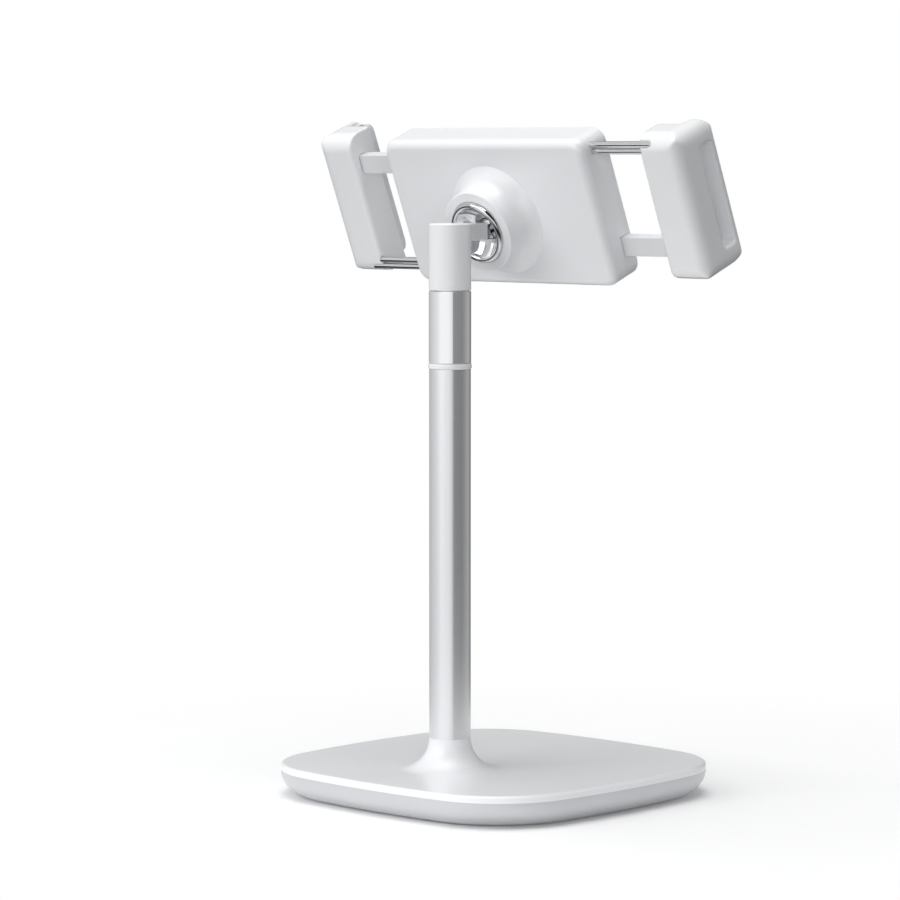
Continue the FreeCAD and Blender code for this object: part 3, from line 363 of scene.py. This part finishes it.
@dataclass(frozen=True)
class Polished(Finish):
    """Mirror plating with faint polishing haze."""

    tone_spread: float = 0.015
    relief_depth: float = 0.02 * MM
    haze_scale: float = 60.0
    haze_rough: float = 0.02
    grain: float = 1500.0

    def surface(self, graph: Graph) -> tuple[Wire, Wire, Wire]:
        """Draws what varies over the surface.

        Args:
            graph: the material's graph.

        Returns:
            Colour, roughness and normal.
        """
        place = graph.place()
        haze = graph.noise(place, self.haze_scale, 3.0)
        fine = graph.noise(place, self.grain, 1.0)
        colour = graph.blend(haze, toned(self.colour, 1 - self.tone_spread), rgba(self.colour))
        rough = self.roughness + haze * self.haze_rough
        return colour, rough, graph.bump(fine, self.relief, self.relief_depth)


WHITE = (0.86, 0.872, 0.89)
FINISHES: dict[str, Finish] = {
    "white_shell": Finish("satin_white_base", WHITE, 0.32, coat=0.25, coat_roughness=0.18,
                          relief=0.02),
    "white_cover": Finish("satin_white_cover", WHITE, 0.30, coat=0.3, coat_roughness=0.16,
                          relief=0.02),
    "white_plate": Finish("satin_white_plate", WHITE, 0.34, coat=0.2, relief=0.02),
    "white_jaw": Finish("gloss_white_jaw", (0.88, 0.89, 0.905), 0.22, coat=0.45,
                        coat_roughness=0.08, relief=0.015),
    "white_cap": Finish("satin_white_cap", WHITE, 0.34, coat=0.2, relief=0.02),
    "white_ring": Finish("gloss_white_ring", (0.9, 0.905, 0.915), 0.2, coat=0.4, relief=0.01),
    "rail_white": Finish("light_grey_rail", (0.74, 0.75, 0.765), 0.36, relief=0.02),
    "silver_band": Finish("silver_paint", (0.60, 0.61, 0.63), 0.38, metallic=0.35, coat=0.3,
                          grain=3000.0, rough_spread=0.08),
    "foot_rubber": Finish("moulded_rubber", (0.05, 0.05, 0.053), 0.75, rough_spread=0.1),
    "tube_aluminium": Anodised("anodised_tube", (0.80, 0.81, 0.825), 0.24, metallic=1.0,
                               relief=0.04),
    "collar_aluminium": Turned("turned_collar", (0.86, 0.865, 0.875), 0.11, metallic=1.0,
                               relief=0.03),
    "inner_tube_aluminium": Anodised("polished_inner_tube", (0.84, 0.845, 0.855), 0.16,
                                     metallic=1.0, relief=0.02),
    "ball_chrome": Polished("mirror_chrome", (0.62, 0.625, 0.635), 0.03, metallic=1.0, relief=0.0),
    "rod_steel": Polished("polished_rod", (0.78, 0.785, 0.795), 0.10, metallic=1.0, relief=0.01),
    "screw_steel": Finish("zinc_screw", (0.62, 0.63, 0.64), 0.34, metallic=1.0, tone_spread=0.05,
                          rough_spread=0.12),
    "plate_steel": Finish("zinc_plate", (0.6, 0.61, 0.62), 0.4, metallic=1.0, tone_spread=0.06,
                          rough_spread=0.15),
    "spring_steel": Finish("spring_wire", (0.42, 0.42, 0.44), 0.32, metallic=1.0,
                           tone_spread=0.06),
    "weight_iron": Finish("cast_weight", (0.12, 0.12, 0.125), 0.7, metallic=0.4, tone_spread=0.2,
                          grain=600.0, relief=0.4, rough_spread=0.15),
    "insert_brass": Finish("turned_brass", (0.78, 0.6, 0.28), 0.26, metallic=1.0),
    "inner_plastic": Finish("grey_acetal", (0.2, 0.2, 0.21), 0.45),
    "friction_plastic": Finish("natural_polymer", (0.72, 0.7, 0.62), 0.4),
    "seat_plastic": Finish("dark_polymer", (0.1, 0.1, 0.105), 0.5, grain=700.0, relief=0.08),
    "gear_plastic": Finish("white_acetal", (0.8, 0.8, 0.77), 0.36),
    "soft_pad": Finish("soft_silicone", (0.70, 0.71, 0.725), 0.62, rough_spread=0.1, grain=1400.0,
                       relief=0.06),
    "print_grey": Finish("printed_mark", (0.16, 0.165, 0.175), 0.5, tone_spread=0.05),
    "grip_rubber": Finish("soft_grip", (0.70, 0.71, 0.725), 0.6, rough_spread=0.1, grain=1400.0,
                          relief=0.06),
}


class Wardrobe:
    """Builds each finish once and hands it out by material slot."""

    def __init__(self) -> None:
        """Starts with no material made."""
        self.made: dict[str, bpy.types.Material] = {}

    def get(self, slot: str) -> bpy.types.Material:
        """The material of a slot of the record."""
        if slot not in self.made:
            self.made[slot] = FINISHES[slot].build()
        return self.made[slot]

    def dress(self, obj: bpy.types.Object, slot: str) -> None:
        """Gives an object one finish all over."""
        obj.data.materials.clear()
        obj.data.materials.append(self.get(slot))


# ---- the studio ----------------------------------------------------------------------------------
@dataclass(frozen=True)
class SoftBox:
    """A rectangular light."""

    name: str
    place: tuple[float, float, float]
    aim: tuple[float, float, float]
    width: float
    height: float
    power: float
    in_reflections: bool = True


@dataclass
class Studio:
    """Pale floor, soft lights, plain surroundings and the camera."""

    azimuth: float = 223.4
    elevation: float = 4.5
    distance: float = 1.8
    aim: tuple[float, float, float] = (0.0, 0.031, 0.170)
    lens: float = 150.0
    floor_half: float = 12.0
    floor_near: float = 0.12
    floor_far: float = 0.42
    paper_colour: tuple[float, float, float, float] = (0.95, 0.95, 0.953, 1.0)
    paper_roughness: float = 0.6
    paper_specular: float = 0.2
    paper_glow: float = 0.08
    flag_tone: float = 0.015
    flag_foot: tuple[float, float] = (0.16, 0.24)
    flag_head: tuple[float, float] = (0.86, 0.93)
    flag_front: tuple[float, float] = (-0.1, 0.35)
    under_floor: tuple[float, float] = (-0.30, -0.20)
    ceiling_tone: float = 0.9
    ceiling_foot: tuple[float, float] = (0.88, 0.95)
    sensor: float = 36.0
    surround: tuple[tuple[float, float], ...] = (
        (-180.0, 0.30), (-140.0, 0.60), (-75.0, 0.85), (-50.0, 1.05), (-8.0, 1.05), (14.0, 0.82),
        (17.0, 0.30), (70.0, 0.26), (118.0, 0.45), (150.0, 0.20), (180.0, 0.30))
    boxes: list[SoftBox] = field(default_factory=lambda: [
        SoftBox("key_light", (0.55, 2.15, 1.25), (0, 0, 0.22), 2.0, 1.7, 24.0),
        SoftBox("top_light", (0.0, 0.2, 2.3), (0, 0, 0), 1.6, 1.6, 25.0),
        SoftBox("front_fill", (-1.51, 1.60, 0.35), (0, 0, 0.2), 1.5, 1.2, 10.0, False),
        SoftBox("rear_fill", (-0.62, -1.85, 0.9), (0, 0, 0.2), 0.9, 1.8, 5.0, False),
    ])

    def build(self) -> None:
        """Makes the floor, the lights, the surroundings and the camera."""
        self._floor()
        for box in self.boxes:
            self._light(box)
        self._surroundings()
        self._camera()
        bpy.context.scene.view_settings.view_transform = "Standard"

    def _floor(self) -> None:
        """A wide pale sheet under the stand that fades to an evenly lit white."""
        mesh = bpy.data.meshes.new("floor")
        half = self.floor_half
        corners = [(-half, -half, 0), (half, -half, 0), (half, half, 0), (-half, half, 0)]
        mesh.from_pydata(corners, [], [(0, 1, 2, 3)])
        floor = bpy.data.objects.new("floor", mesh)
        bpy.context.scene.collection.objects.link(floor)
        paper = bpy.data.materials.new("pale_floor")
        paper.use_nodes = True
        graph = Graph(paper.node_tree)
        reach = graph.node("ShaderNodeVectorMath", {"operation": "LENGTH"},
                           {0: graph.place()}, out="Value")
        fade = graph.node("ShaderNodeMapRange", {"interpolation_type": "SMOOTHSTEP"},
                          {0: reach, 1: self.floor_near, 2: self.floor_far, 3: 0.0, 4: 1.0})
        sheet = graph.node("ShaderNodeBsdfPrincipled", inputs={
            "Base Color": self.paper_colour, "Roughness": self.paper_roughness,
            "Specular IOR Level": self.paper_specular,
            "Emission Color": PURE_WHITE, "Emission Strength": self.paper_glow})
        lit = graph.node("ShaderNodeEmission", inputs={"Color": PURE_WHITE, "Strength": 1.0})
        clear = graph.node("ShaderNodeBsdfTransparent")
        seen = graph.node("ShaderNodeLightPath", out="Is Camera Ray")
        far = graph.node("ShaderNodeMixShader", inputs={0: seen, 1: clear, 2: lit})
        mixed = graph.node("ShaderNodeMixShader", inputs={0: fade, 1: sheet, 2: far})
        graph.node("ShaderNodeOutputMaterial", inputs={"Surface": mixed})
        mesh.materials.append(paper)

    def _light(self, box: SoftBox) -> None:
        """Hangs one light aimed at the stand.

        Args:
            box: its size, place and power.
        """
        data = bpy.data.lights.new(box.name, "AREA")
        data.shape = "RECTANGLE"
        data.size = box.width
        data.size_y = box.height
        data.energy = box.power
        light = bpy.data.objects.new(box.name, data)
        light.location = box.place
        way = Vector(box.aim) - Vector(box.place)
        light.rotation_euler = way.to_track_quat("-Z", "Y").to_euler()
        light.visible_glossy = box.in_reflections
        bpy.context.scene.collection.objects.link(light)

    def _surroundings(self) -> None:
        """A white backdrop, lit for reflections like a grey studio with dark flags."""
        world = bpy.data.worlds.new("studio")
        bpy.context.scene.world = world
        world.use_nodes = True
        graph = Graph(world.node_tree)
        direction = graph.node("ShaderNodeTexCoord", out="Generated")
        height = graph.axis(direction, 2)
        side, front = self._heading(graph, direction)
        angle = graph.node("ShaderNodeMath", {"operation": "ARCTAN2"}, {0: side, 1: front})
        around = graph.node("ShaderNodeValToRGB", {"stops": [
            ((degrees + 180) / 360, grey(tone)) for degrees, tone in self.surround]},
            {0: angle * (0.5 / math.pi) + 0.5})
        upper = (graph.remap(height, *self.flag_foot, 0.0, 1.0)
                 * graph.remap(height, *self.flag_head, 1.0, 0.0))
        facing = graph.remap(front, *self.flag_front, 0.0, 1.0)
        lower = graph.remap(height, *self.under_floor, 1.0, 0.0)
        flagged = graph.blend(upper * facing + lower, around, grey(self.flag_tone))
        above = graph.remap(height, *self.ceiling_foot, 0.0, 1.0)
        room = graph.blend(above, flagged, grey(self.ceiling_tone))
        seen = graph.node("ShaderNodeLightPath", out="Is Camera Ray")
        colour = graph.blend(seen, room, PURE_WHITE)
        light = graph.node("ShaderNodeBackground", inputs={"Color": colour, "Strength": 1.0})
        graph.node("ShaderNodeOutputWorld", inputs={"Surface": light})

    def _heading(self, graph: Graph, direction: Wire) -> tuple[Wire, Wire]:
        """How far a direction points to the shaded side and to the lit front of the studio.

        Args:
            graph: the world's graph.
            direction: the direction.

        Returns:
            The share to the side and the share to the front.
        """
        turn = math.radians(self.azimuth)
        side_way = (math.cos(turn), math.sin(turn), 0.0)
        front_way = (math.sin(turn), -math.cos(turn), 0.0)
        dots = [graph.node("ShaderNodeVectorMath", {"operation": "DOT_PRODUCT"},
                           {0: direction, 1: way}, out="Value") for way in (side_way, front_way)]
        return dots[0], dots[1]

    def _camera(self) -> None:
        """The camera at its angle to the stand."""
        data = bpy.data.cameras.new("camera")
        data.lens = self.lens
        data.sensor_width = self.sensor
        turn, rise = math.radians(self.azimuth), math.radians(self.elevation)
        level = math.cos(rise)
        back = Vector((math.sin(turn) * level, -math.cos(turn) * level, math.sin(rise)))
        camera = bpy.data.objects.new("camera", data)
        camera.location = Vector(self.aim) + back * self.distance
        camera.rotation_euler = (-back).to_track_quat("-Z", "Y").to_euler()
        bpy.context.scene.collection.objects.link(camera)
        bpy.context.scene.camera = camera


# ---- mesh work -----------------------------------------------------------------------------------
Place = Callable[[float, float, float], Vector]


class Side(Enum):
    """Which jaw of the clamp."""

    RIGHT = "right"
    LEFT = "left"


@dataclass
class Draft:
    """Points and faces of a piece while it is being drawn."""

    points: list[Vector] = field(default_factory=list)
    faces: list[tuple[int, ...]] = field(default_factory=list)

    def grid(self, rows: list[list[Vector]]) -> list[int]:
        """Adds a sheet of quads.

        Args:
            rows: equally long rows of points.

        Returns:
            The indices round the border of the sheet, in order.
        """
        start, across = len(self.points), len(rows[0])
        for row in rows:
            self.points.extend(row)
        for j in range(len(rows) - 1):
            for i in range(across - 1):
                low = start + j * across + i
                self.faces.append((low, low + 1, low + across + 1, low + across))
        bottom = [start + i for i in range(across)]
        right = [start + j * across + across - 1 for j in range(1, len(rows))]
        top = [start + (len(rows) - 1) * across + i for i in range(across - 2, -1, -1)]
        left = [start + j * across for j in range(len(rows) - 2, 0, -1)]
        return bottom + right + top + left

    def skirt(self, border: list[int], moved: list[Vector]) -> None:
        """Adds walls from a border to a second loop of points, closed by a flat face.

        Args:
            border: indices of the points that the walls start from.
            moved: where the walls end, one point for each in the border.
        """
        start, count = len(self.points), len(border)
        self.points.extend(moved)
        for i in range(count):
            after = (i + 1) % count
            self.faces.append((border[i], start + i, start + after, border[after]))
        self.faces.append(tuple(start + i for i in range(count)))

    def finish(self, name: str) -> bpy.types.Object:
        """Turns the draft into an object with outward normals, shaded smooth.

        Args:
            name: the object's name.

        Returns:
            The object, linked to the scene.
        """
        mesh = bpy.data.meshes.new(name)
        mesh.from_pydata([tuple(point) for point in self.points], [], self.faces)
        work = bmesh.new()
        work.from_mesh(mesh)
        bmesh.ops.recalc_face_normals(work, faces=work.faces)
        work.to_mesh(mesh)
        work.free()
        mesh.shade_smooth()
        mesh.set_sharp_from_angle(angle=SHARP_ANGLE)
        piece = bpy.data.objects.new(name, mesh)
        bpy.context.scene.collection.objects.link(piece)
        return piece


@dataclass(frozen=True)
class PadShape:
    """A soft pad: a rounded rectangle with a rolled edge and shallow ribs, sizes in metres."""

    half_a: float
    half_b: float
    low: float
    high: float
    corner: float
    edge: float
    rib_pitch: float
    rib_depth: float
    columns: int = 49
    rows: int = 97

    def _width(self, b: float) -> float:
        """Half the width of the pad, less in its rounded corners.

        Args:
            b: place along the pad.

        Returns:
            Half the width there.
        """
        past = abs(b) - (self.half_b - self.corner)
        if past <= 0:
            return self.half_a
        return self.half_a - self.corner + math.sqrt(max(0.0, self.corner ** 2 - past ** 2))

    def _height(self, a: float, b: float) -> float:
        """Height of the pad's face, with its rolled edge and its ribs.

        Args:
            a: place across the pad.
            b: place along the pad.

        Returns:
            The height there.
        """
        inside = max(0.0, min(self._width(b) - abs(a), self.half_b - abs(b)))
        roll = self.edge - math.sqrt(self.edge ** 2 - (self.edge - min(inside, self.edge)) ** 2)
        wave = 0.5 - 0.5 * math.cos(2 * math.pi * b / self.rib_pitch)
        fade = min(1.0, max(0.0, (inside - self.edge) / self.edge))
        return self.high - roll - self.rib_depth * wave * fade

    def draw(self, draft: Draft, place: Place) -> None:
        """Adds the pad to a draft.

        Args:
            draft: the draft that receives it.
            place: turns (a, b, height) into a point of the stand.
        """
        rows, lows = [], {}
        for j in range(self.rows):
            b = self.half_b * (2 * j / (self.rows - 1) - 1)
            row = []
            for i in range(self.columns):
                a = self._width(b) * math.sin(math.pi / 2 * (2 * i / (self.columns - 1) - 1))
                lows[(j, i)] = place(a, b, self.low)
                row.append(place(a, b, self._height(a, b)))
            rows.append(row)
        start = len(draft.points)
        border = draft.grid(rows)
        moved = [lows[divmod(index - start, self.columns)] for index in border]
        draft.skirt(border, moved)


@dataclass(frozen=True)
class Lean:
    """The leaning frame of the clamp: u to the right, v up the tablet, n towards the tablet."""

    origin: Vector
    n_way: Vector

    def point(self, u: float, n: float, v: float) -> Vector:
        """A point of the stand from its place in the leaning frame."""
        v_way = self.n_way.cross(Vector((1, 0, 0)))
        return self.origin + Vector((u, 0, 0)) + self.n_way * n + v_way * v

    def extent(self, obj: bpy.types.Object,
               keep: Callable[[Vector], bool] = lambda at: True) -> tuple[Vector, Vector]:
        """Lowest and highest (u, n, v) of the object's points that are kept.

        Args:
            obj: the object that is measured.
            keep: says whether a point counts.

        Returns:
            The lowest and the highest corner.
        """
        v_way = self.n_way.cross(Vector((1, 0, 0)))
        found = []
        for vertex in obj.data.vertices:
            away = vertex.co - self.origin
            at = Vector((away.x, away.dot(self.n_way), away.dot(v_way)))
            if keep(at):
                found.append(at)
        return (Vector(tuple(min(at[k] for at in found) for k in range(3))),
                Vector(tuple(max(at[k] for at in found) for k in range(3))))


def dress_piece(piece: bpy.types.Object, wardrobe: Wardrobe, finish: str, slot: str, body: str,
                *nodes: str) -> None:
    """Gives a new piece its finish and its body, and hides the nodes that it stands for.

    Args:
        piece: the new piece.
        wardrobe: the finishes.
        finish: the finish it wears.
        slot: not used.
        body: the body it moves with.
        nodes: the carried-over nodes that it replaces.
    """
    wardrobe.dress(piece, finish)
    if nodes:
        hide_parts(*nodes)
    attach(piece, body)
    log.info("built %s on %s", piece.name, body)


def softened(source: bpy.types.Object, name: str, voxel: float, passes: int) -> bpy.types.Object:
    """A copy of a moulding with its edges melted round.

    Args:
        source: the carried-over moulding.
        name: the new piece's name.
        voxel: size of the even mesh it is rebuilt with.
        passes: how often its points are eased.

    Returns:
        The new piece.
    """
    rough = bpy.data.objects.new(name + "_rough", source.data.copy())
    bpy.context.scene.collection.objects.link(rough)
    even = rough.modifiers.new("even", "REMESH")
    even.mode = "VOXEL"
    even.voxel_size = voxel
    ease = rough.modifiers.new("ease", "SMOOTH")
    ease.factor = EASE_SHARE
    ease.iterations = passes
    depsgraph = bpy.context.evaluated_depsgraph_get()
    mesh = bpy.data.meshes.new_from_object(rough.evaluated_get(depsgraph))
    mesh.shade_smooth()
    bpy.data.objects.remove(rough)
    piece = bpy.data.objects.new(name, mesh)
    bpy.context.scene.collection.objects.link(piece)
    return piece


# ---- sub-assemblies ------------------------------------------------------------------------------
@dataclass
class Clamp:
    """The soft and moulded pieces of the clamp that holds the tablet."""

    frame: dict
    wardrobe: Wardrobe
    pad_corner: float = 8.0 * MM
    pad_edge: float = 1.1 * MM
    pad_rib_pitch: float = 4.0 * MM
    pad_rib_depth: float = 0.7 * MM
    pad_rows: int = 161
    grip_corner: float = 1.0 * MM
    grip_edge: float = 0.5 * MM
    grip_rib_pitch: float = 1.6 * MM
    grip_rib_depth: float = 0.45 * MM
    grip_columns: int = 17
    grip_rows: int = 61
    jaw_voxel: float = 0.7 * MM
    jaw_passes: int = 9
    jaw_travel: float = 28.0 * MM

    def __post_init__(self) -> None:
        """Finds the leaning frame from the joints of the ball."""
        joints = {joint["name"]: joint for joint in self.frame["joints"]}
        spin = joints["holder_spin"]
        self.lean = Lean(Vector(spin["pos_m"]), Vector(spin["axis"]).normalized())

    def build(self) -> None:
        """Makes every piece of the clamp."""
        self._front_pad()
        for side in Side:
            self._jaw(side)
            self._grips(side)
            self._spring(side)

    def _front_pad(self) -> None:
        """The ribbed pad that the tablet's back rests on."""
        low, high = self.lean.extent(self.frame["nodes"]["front_pad"])
        middle = (low + high) / 2
        shape = PadShape(half_a=(high.x - low.x) / 2, half_b=(high.z - low.z) / 2, low=low.y,
                         high=high.y, corner=self.pad_corner, edge=self.pad_edge,
                         rib_pitch=self.pad_rib_pitch, rib_depth=self.pad_rib_depth,
                         rows=self.pad_rows)
        draft = Draft()
        shape.draw(draft, lambda a, b, h: self.lean.point(middle.x + a, h, middle.z + b))
        dress_piece(draft.finish("ribbed_front_pad"), self.wardrobe, "soft_pad", "soft_pad",
                    "holder", "front_pad")

    def _grips(self, side: Side) -> None:
        """Two ribbed strips on the wall of a jaw.

        Args:
            side: which jaw.
        """
        node = self.frame["nodes"]["grip_pads_" + side.value]
        whole_low, whole_high = self.lean.extent(node)
        split = (whole_low.z + whole_high.z) / 2
        wall, face = whole_high.x, whole_low.x
        if side is Side.LEFT:
            wall, face = face, wall
        draft = Draft()
        for upper in (False, True):
            low, high = self.lean.extent(node, lambda at: (at.z > split) == upper)
            middle = (low + high) / 2
            shape = PadShape(half_a=(high.y - low.y) / 2, half_b=(high.z - low.z) / 2, low=0.0,
                             high=abs(wall - face), corner=self.grip_corner, edge=self.grip_edge,
                             rib_pitch=self.grip_rib_pitch, rib_depth=self.grip_rib_depth,
                             columns=self.grip_columns, rows=self.grip_rows)
            shape.draw(draft, lambda a, b, h: self.lean.point(
                wall + (h if face > wall else -h), middle.y + a, middle.z + b))
        dress_piece(draft.finish("ribbed_grips_" + side.value), self.wardrobe, "grip_rubber",
                    "grip_rubber", side.value + "_jaw", "grip_pads_" + side.value)

    def _jaw(self, side: Side) -> None:
        """A jaw with the soft edges of a thick gloss moulding.

        Args:
            side: which jaw.
        """
        source = self.frame["nodes"]["jaw_" + side.value]
        piece = softened(source, "soft_jaw_" + side.value, self.jaw_voxel, self.jaw_passes)
        dress_piece(piece, self.wardrobe, "white_jaw", "white_jaw", side.value + "_jaw",
                    "jaw_" + side.value)

    def _spring(self, side: Side) -> None:
        """A return spring, a copy of its coil, carried by its jaw.

        Args:
            side: which jaw.
        """
        node, jaw = "return_spring_" + side.value, "jaw_" + side.value
        coil = self.frame["nodes"][node].data.copy()
        piece = bpy.data.objects.new("coil_spring_" + side.value, coil)
        bpy.context.scene.collection.objects.link(piece)
        dress_piece(piece, self.wardrobe, "spring_steel", "spring_steel", side.value + "_jaw", node)
        low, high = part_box(node)
        jaw_middle = sum(corner[0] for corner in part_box(jaw)) / 2
        hooked = min((low[0], high[0]), key=lambda end: abs(end - jaw_middle))
        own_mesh(piece)


@dataclass
class BaseFoot:
    """The anti-slip sheet under the base, with its raised dots."""

    frame: dict
    wardrobe: Wardrobe
    dot_pitch: float = 5.0 * MM
    dot_r: float = 1.1 * MM
    dot_h: float = 0.35 * MM
    dot_sides: int = 10
    dot_rings: tuple[tuple[float, float], ...] = ((1.0, 1.0), (0.85, 0.3), (0.5, 0.0))
    margin: float = 4.0 * MM
    keep_clear: float = 14.0 * MM
    roundness: int = 5
    corner_reach: float = 0.8

    def build(self) -> None:
        """Makes the sheet and its dots as one piece."""
        source = self.frame["nodes"]["foot_pad"]
        low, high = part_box("foot_pad")
        pole = Vector(next(j for j in self.frame["joints"] if j["name"] == "mast_swivel")["pos_m"])
        mesh = source.data.copy()
        for vertex in mesh.vertices:
            if vertex.co.z < low[2] + self.dot_h / 2:
                vertex.co.z = low[2] + self.dot_h
        sheet = bmesh.new()
        sheet.from_mesh(mesh)
        reach = (high[0] - low[0]) / 2 - self.margin
        count = int(reach / self.dot_pitch)
        for j in range(-count, count + 1):
            for i in range(-count, count + 1):
                x, y = i * self.dot_pitch, j * self.dot_pitch
                spread = (abs(x) / reach) ** self.roundness + (abs(y) / reach) ** self.roundness
                away = math.hypot(x - pole.x, y - pole.y)
                if spread < self.corner_reach and away > self.keep_clear:
                    self._dot(sheet, x, y, low[2])
        sheet.to_mesh(mesh)
        sheet.free()
        piece = bpy.data.objects.new("dotted_foot_sheet", mesh)
        bpy.context.scene.collection.objects.link(piece)
        dress_piece(piece, self.wardrobe, "foot_rubber", "foot_rubber", "base", "foot_pad")

    def _dot(self, sheet: bmesh.types.BMesh, x: float, y: float, floor: float) -> None:
        """One low round dot under the sheet, closed above and below.

        Args:
            sheet: the mesh it is added to.
            x: place to the right.
            y: place to the back.
            floor: the height that the dot reaches down to.
        """
        rings = []
        turns = [2 * math.pi * k / self.dot_sides for k in range(self.dot_sides)]
        for width, rise in self.dot_rings:
            radius, height = self.dot_r * width, floor + self.dot_h * rise
            rings.append([sheet.verts.new((x + radius * math.cos(turn),
                                           y + radius * math.sin(turn), height)) for turn in turns])
        for upper, lower in zip(rings, rings[1:]):
            for k in range(self.dot_sides):
                after = (k + 1) % self.dot_sides
                sheet.faces.new((upper[k], lower[k], lower[after], upper[after]))
        sheet.faces.new(list(reversed(rings[-1])))
        sheet.faces.new(rings[0])


@dataclass
class PoleMark:
    """A small printed mark on the front of the tube that shows which way the collar turns."""

    frame: dict
    wardrobe: Wardrobe
    below_top: float = 7.5 * MM
    width: float = 11.0 * MM
    line: float = 0.5 * MM
    tick: float = 2.4 * MM
    film: float = 0.04 * MM
    steps: int = 16

    def build(self) -> None:
        """Makes a level line with a tick at one end and an arrow head at the other."""
        low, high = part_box("outer_tube")
        radius = (high[0] - low[0]) / 2
        centre_y = (low[1] + high[1]) / 2
        level = high[2] - self.below_top
        draft = Draft()

        def on_tube(across: float, up: float, out: float) -> Vector:
            """A point on the tube's front, from its place on the tube unrolled.

            Args:
                across: way round the tube.
                up: way up the tube.
                out: height above its surface.

            Returns:
                The point.
            """
            turn = across / radius
            reach = radius + out
            return Vector((reach * math.sin(turn), centre_y - reach * math.cos(turn), level + up))

        half = self.width / 2
        self._bar(draft, on_tube, (-half, 0.0), (half, 0.0))
        self._bar(draft, on_tube, (-half, -self.tick / 2), (-half, self.tick / 2))
        for way in (-1, 1):
            self._bar(draft, on_tube, (half, 0.0), (half - self.tick / 2, way * self.tick / 2))
        dress_piece(draft.finish("turn_mark"), self.wardrobe, "print_grey", "inner_plastic", "base")

    def _bar(self, draft: Draft, on_tube: Place, start: tuple[float, float],
             end: tuple[float, float]) -> None:
        """One printed stroke.

        Args:
            draft: the draft that receives it.
            on_tube: turns (across, up, out) into a point on the tube.
            start: across and up of one end.
            end: across and up of the other end.
        """
        way = Vector((end[0] - start[0], end[1] - start[1])).normalized()
        aside = Vector((-way.y, way.x)) * (self.line / 2)
        tops, lows = [], []
        for sign in (-1, 1):
            line = [Vector(start).lerp(Vector(end), k / self.steps) + aside * sign
                    for k in range(self.steps + 1)]
            tops.append([on_tube(at.x, at.y, self.film) for at in line])
            lows.append([on_tube(at.x, at.y, 0.0) for at in line])
        first = len(draft.points)
        border = draft.grid(tops)
        places = [divmod(index - first, self.steps + 1) for index in border]
        draft.skirt(border, [lows[row][column] for row, column in places])


def dress_nodes(frame: dict, wardrobe: Wardrobe) -> None:
    """Dresses every carried-over node by its slot.

    Args:
        frame: the loaded frame.
        wardrobe: the finishes.
    """
    slots = {part["node"]: part["material_slot"] for part in frame["record"]["subparts"]}
    for name, obj in frame["nodes"].items():
        wardrobe.dress(obj, slots[name])
        log.info("dressed %s as %s", name, slots[name])


def main() -> None:
    """Builds the stand's looks around the frame."""
    logging.basicConfig(level=logging.INFO, format="%(message)s")
    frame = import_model()
    wardrobe = Wardrobe()
    dress_nodes(frame, wardrobe)
    for assembly in (BaseFoot(frame, wardrobe), PoleMark(frame, wardrobe), Clamp(frame, wardrobe)):
        assembly.build()
        log.info("finished %s", type(assembly).__name__)
    Studio().build()


if __name__ == "__main__":
    main()
